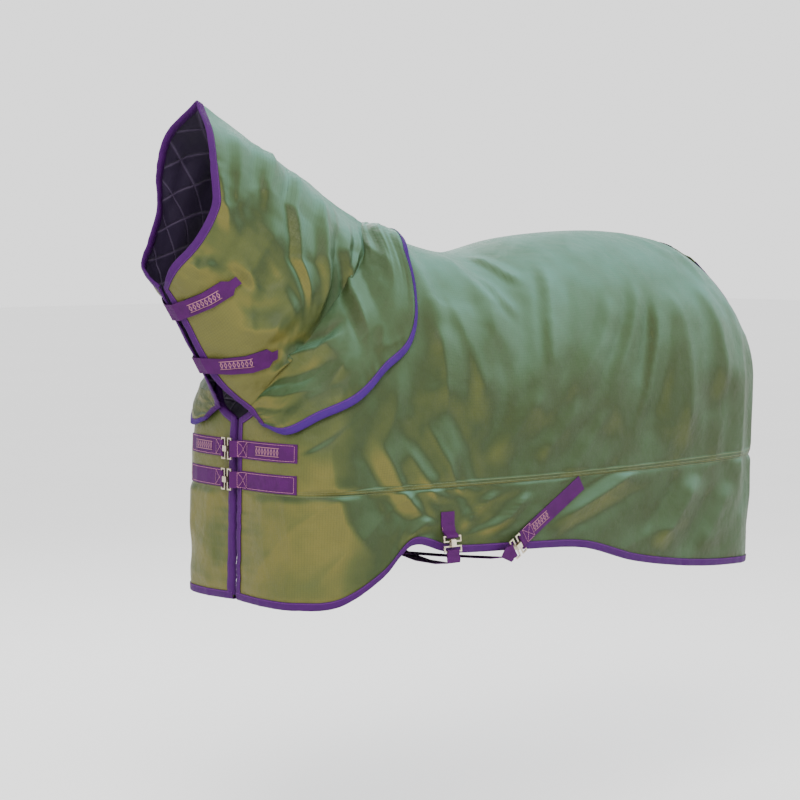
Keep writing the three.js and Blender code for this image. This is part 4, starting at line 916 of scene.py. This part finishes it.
def on_flap(share, n, height):
    share, n = np.broadcast_arrays(np.asarray(share, float), np.asarray(n, float))
    step = 0.05
    last = FLAP_ROWS - 1
    across = flap_point(np.minimum(share + step, 1), n) - flap_point(np.maximum(share - step, -1), n)
    down = flap_point(share, np.minimum(n + step, last)) - flap_point(share, np.maximum(n - step, 0))
    normal = unit(np.cross(across, down))
    hang = smooth((n - 1.5) / 1.5)
    ripple = 0.0035 * np.sin(share * 6.4 + n * 0.35) * hang * smooth((1.05 - np.abs(share)) / 0.4 + 0.25)
    ripple = ripple + 0.0018 * noise(share * 3 + 9, n * 1.3, 17) * smooth(n / 1.2)
    return flap_point(share, n) + normal * (np.asarray(height) + ripple + 0.0005)[..., None]


flap_n, flap_s = np.meshgrid(np.linspace(0, FLAP_ROWS - 1.03, 90 // COARSE),
                             np.linspace(-.985, .985, 56 // COARSE), indexing="ij")
FLAP_LENGTH = 0.45
flap_uv = np.stack([flap_s * 0.14, flap_n / (FLAP_ROWS - 1) * FLAP_LENGTH], -1)
flap_cloth = make_mesh("flap_cloth", on_flap(flap_s, flap_n, FLAP).reshape(-1, 3), grid_faces(*flap_n.shape),
                       flap_uv.reshape(-1, 2), COVER_CLOTH, True)
solidify(flap_cloth, FLAP)


def flap_edge():
    """Down one side of the hanging flap, along its foot and up the other side."""
    last = FLAP_ROWS - 1.0
    down, over = np.linspace(2.02, last - 0.3, 44 // COARSE), np.linspace(-0.84, 0.84, 30 // COARSE)
    n = np.concatenate([down, [last], np.full_like(over, last), [last], down[::-1]])
    s = np.concatenate([-np.ones_like(down), [-1], over, [1], np.ones_like(down)])
    dn = np.concatenate([0 * down, [-1], -np.ones_like(over), [-1], 0 * down])
    ds = np.concatenate([np.ones_like(down), [1], 0 * over, [-1], -np.ones_like(down)])
    half = np.abs(flap_point(np.ones_like(n), n)[..., 0]) * 1.12
    row = FLAP_LENGTH / FLAP_ROWS

    def place(distance, height):
        shares, rows = np.clip(s + ds * distance / half, -1, 1), np.clip(n + dn * distance / row, 0, last)
        return on_flap(shares, rows, height)
    return place


flap_trim = edge_binding("trim_flap", flap_edge(), 0, FLAP, TAIL_TRIM, True)
bindings.append((flap_trim, "tail_flap_binding", "tail_flap"))


# ---- Which body each piece rides on, and what it stands for ----

for obj, nodes in ((shell_upper, ["outer_upper_panel"]), (shell_lower["near"], ["outer_lower_panel_near"]),
                   (shell_lower["off"], ["outer_lower_panel_off"]), (rug_lining, ["lining", "wadding"])):
    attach(obj, "rug")
    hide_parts(*nodes)
for obj, node in ((cover_shell, "cover_outer"), (cover_inside, "cover_lining")):
    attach(obj, "neck_cover")
    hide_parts(node)
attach(flap_cloth, "tail_flap")
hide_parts("tail_flap")
for obj, node, body_name in bindings:
    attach(obj, body_name)
    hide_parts(node)

# ---- Finishes of the solids that stay ----


def finish_node(name):
    if name.startswith(("chest_", "surcingle_")) and name.endswith(("_ring", "_hook", "_gate")):
        return METAL
    if name.startswith("surcingle_slider"):
        return METAL
    if name.startswith("neck_tab_hook") or name.startswith("neck_tab_loop") or name.startswith("withers_"):
        return NAP
    if name == "tail_flap_tape":
        return DARK_TAPE
    return PURPLE_WEB


for name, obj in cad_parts.items():
    material = finish_node(name)
    if obj.material_slots:
        obj.material_slots[0].material = material
    else:
        obj.data.materials.append(material)
    if material is METAL:
        bevel = obj.modifiers.new("soft_edges", "BEVEL")
        bevel.width, bevel.segments, bevel.limit_method = 0.0006, 3, "ANGLE"
        bevel.angle_limit = math.radians(30)


# ---- Stitching and plain woven motifs on the straps ----

STITCH = thread_material("strap_thread", (150, 96, 120))


def motif_material(name):
    """A woven band of plain diamonds between two lines, in the strap's own colour and a paler thread."""
    s = Shader(name)
    u, v, _ = s.uv()
    across = s.math("ABSOLUTE", s.minus(v, 0.5))
    step = s.math("ABSOLUTE", s.minus(s.math("FRACT", s.math("DIVIDE", u, 0.0105)), 0.5))
    reach = s.plus(step, across)
    diamond = s.math("LESS_THAN", s.math("ABSOLUTE", s.minus(reach, 0.3)), 0.09)
    rail = s.math("LESS_THAN", s.math("ABSOLUTE", s.minus(across, 0.42)), 0.035)
    shape = s.math("MAXIMUM", diamond, rail)
    ribs = s.stripes(u, 0.0012, 1)
    base = s.mix(shape, colour(62, 14, 72), colour(150, 104, 112))
    base = s.mix(s.times(ribs, 0.25), base, colour(40, 10, 48))
    height = s.plus(shape, s.times(ribs, 0.5))
    surface = s.bump(height, 0.0004, 0.8)
    return s.finish(Base_Color=base, Roughness=0.6, Normal=surface, Specular_IOR_Level=CLOTH_GLOSS)


class StrapFace:
    """Finds places on the outer face of a strap: along and across it, in metres from its middle."""

    def __init__(self, node):
        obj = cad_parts[node]
        self.tree = BVHTree.FromPolygons([v.co.copy() for v in obj.data.vertices],
                                         [tuple(p.vertices) for p in obj.data.polygons])
        low, high = (np.array(c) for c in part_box(node))
        points = np.array([v.co for v in obj.data.vertices])
        self.middle = (low + high) / 2
        axes = np.linalg.svd(points - points.mean(axis=0), full_matrices=False)[2]
        self.along, self.out = axes[0], axes[2]
        if self.along[0] * np.sign(self.middle[0] or 1) < 0:
            self.along = -self.along
        if self.out @ (self.middle - np.array((0, 0.3, -0.4))) < 0:
            self.out = -self.out
        self.across = np.cross(self.out, self.along)

    def at(self, x, y, raised):
        start = self.middle + self.along * x + self.across * y + self.out * 0.06
        spot, normal, _, _ = self.tree.ray_cast(Vector(start), Vector(-self.out), 0.12)
        return None if spot is None else np.array(spot) + np.array(normal) * raised


def motif(node, x, length, width, body_name):
    face = StrapFace(node)
    xs, ys = np.linspace(x - length / 2, x + length / 2, 24), np.linspace(-width / 2, width / 2, 6)
    spots = [[face.at(a, b, 0.0005) for b in ys] for a in xs]
    if any(p is None for row in spots for p in row):
        raise ValueError(f"the motif runs off {node}")
    gx, gy = np.meshgrid(xs - xs[0], (ys - ys[0]) / width, indexing="ij")
    uv = np.stack([gx, gy], -1).reshape(-1, 2)
    obj = make_mesh(f"motif_{node}", np.array(spots).reshape(-1, 3), grid_faces(24, 6), uv, MOTIF, False)
    solidify(obj, 0.0004)
    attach(obj, body_name)


def stitch_run(node, corners, body_name):
    """Rows of single stitches through corners given along and across the strap."""
    face = StrapFace(node)
    quads = []
    for (x0, y0), (x1, y1) in zip(corners, corners[1:]):
        length = math.hypot(x1 - x0, y1 - y0)
        dx, dy = (x1 - x0) / length, (y1 - y0) / length
        for n in range(int(length / 0.0045)):
            t = n * 0.0045 + 0.001
            ends = [(x0 + dx * (t + k), y0 + dy * (t + k)) for k in (0, 0.003)]
            ring = [face.at(a - dy * w, b + dx * w, 0.0006) for (a, b), w in
                    ((ends[0], 0.0005), (ends[1], 0.0005), (ends[1], -0.0005), (ends[0], -0.0005))]
            if all(p is not None for p in ring):
                quads.append(ring)
    points = np.array(quads).reshape(-1, 3)
    faces = np.arange(len(points)).reshape(-1, 4)
    obj = make_mesh(f"stitches_{node}", points, faces, points[:, :2], STITCH, False)
    solidify(obj, 0.0005)
    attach(obj, body_name)


def box_stitch(x0, x1, y):
    return [(x0, -y), (x1, -y), (x1, y), (x0, y), (x0, -y), (x1, y), (x1, -y), (x0, y)]


MOTIF = motif_material("woven_motif")
STRAP_EDGE = WEBBING_WIDTH / 2 - 0.004
for word in ("near", "off"):
    for level in ("upper", "lower"):
        node = f"chest_patch_{level}_{word}"
        reach = (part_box(node)[1][0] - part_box(node)[0][0]) / 2
        stitch_run(node, [*box_stitch(-reach + 0.02, -reach + 0.05, STRAP_EDGE), (reach - 0.006, STRAP_EDGE),
                          (reach - 0.006, -STRAP_EDGE), (-reach + 0.05, -STRAP_EDGE)], "rug")
    motif(f"chest_patch_upper_{word}", 0.016, 0.084, 0.024, "rug")
for level in ("upper", "lower"):
    motif(f"neck_tab_{level}", 0, 0.084, 0.024, f"neck_tab_{level}")
motif("surcingle_short_rear", 0.04, 0.063, 0.024, "rug")
stitch_run("surcingle_short_front", box_stitch(-0.045, -0.02, STRAP_EDGE), "rug")
stitch_run("surcingle_short_rear", box_stitch(0.075, 0.105, STRAP_EDGE), "rug")

# ---- Studio: pale floor, soft light and the camera ----

def area_light(name, place, target, size, power, tint):
    light = bpy.data.lights.new(name, "AREA")
    light.shape, light.size, light.energy, light.color = "DISK", size, power, tint
    obj = bpy.data.objects.new(name, light)
    obj.location = place
    obj.rotation_euler = (Vector(target) - Vector(place)).to_track_quat("-Z", "Y").to_euler()
    bpy.context.collection.objects.link(obj)
    return obj


FLOOR_Z = -1.6
area_light("key", (3.2, -3.0, 3.4), (0, 0.1, -0.4), 3.2, 330, (1.0, 0.97, 0.92))
area_light("fill", (3.4, 3.4, 0.8), (0, 0.2, -0.4), 3.5, 70, (0.9, 0.95, 1.0))
area_light("back", (-3.6, 1.5, 2.6), (0, 0.1, -0.4), 3.0, 110, (0.95, 0.97, 1.0))

world = bpy.data.worlds.new("pale_sky")
bpy.context.scene.world = world
world.use_nodes = True
sky = world.node_tree
height = sky.nodes.new("ShaderNodeSeparateXYZ")
sky.links.new(sky.nodes.new("ShaderNodeTexCoord").outputs["Generated"], height.inputs[0])
shade = sky.nodes.new("ShaderNodeValToRGB")
for element, (place, tone) in zip(shade.color_ramp.elements, ((0.1, 0.3), (0.48, 1.0))):
    element.position, element.color = place, (tone, tone, tone, 1)
lifted = sky.nodes.new("ShaderNodeMath")
lifted.operation = "MULTIPLY_ADD"
sky.links.new(height.outputs[2], lifted.inputs[0])
lifted.inputs[1].default_value, lifted.inputs[2].default_value = 0.5, 0.5
sky.links.new(lifted.outputs[0], shade.inputs[0])
sky.links.new(shade.outputs[0], sky.nodes["Background"].inputs["Color"])
sky.nodes["Background"].inputs["Strength"].default_value = 1.7

floor_shader = Shader("pale_floor")
mottle = floor_shader.noise(floor_shader.place(), 0.8, 2)
floor_tone = floor_shader.mix(mottle, (0.88, 0.88, 0.88, 1), (0.92, 0.92, 0.92, 1))
FLOOR = floor_shader.finish(Base_Color=floor_tone, Roughness=0.9)
REACH = 40  # metres of floor each way
corners = np.array([(x * REACH, y * REACH, FLOOR_Z) for x, y in ((-1, -1), (1, -1), (1, 1), (-1, 1))])
floor = make_mesh("floor", corners, np.array([[0, 1, 2, 3]]), corners[:, :2], FLOOR)

camera_data = bpy.data.cameras.new("camera")
camera_data.lens, camera_data.sensor_width = 101.25, 36
camera_data.clip_end = 200
camera = bpy.data.objects.new("camera", camera_data)
camera.location = (4.429, -3.667, 0.0177)
TURN, PITCH = math.radians(50), math.radians(4.194)
look = Vector((-math.sin(TURN) * math.cos(PITCH), math.cos(TURN) * math.cos(PITCH), -math.sin(PITCH)))
camera.rotation_euler = look.to_track_quat("-Z", "Y").to_euler()
bpy.context.collection.objects.link(camera)
bpy.context.scene.camera = camera
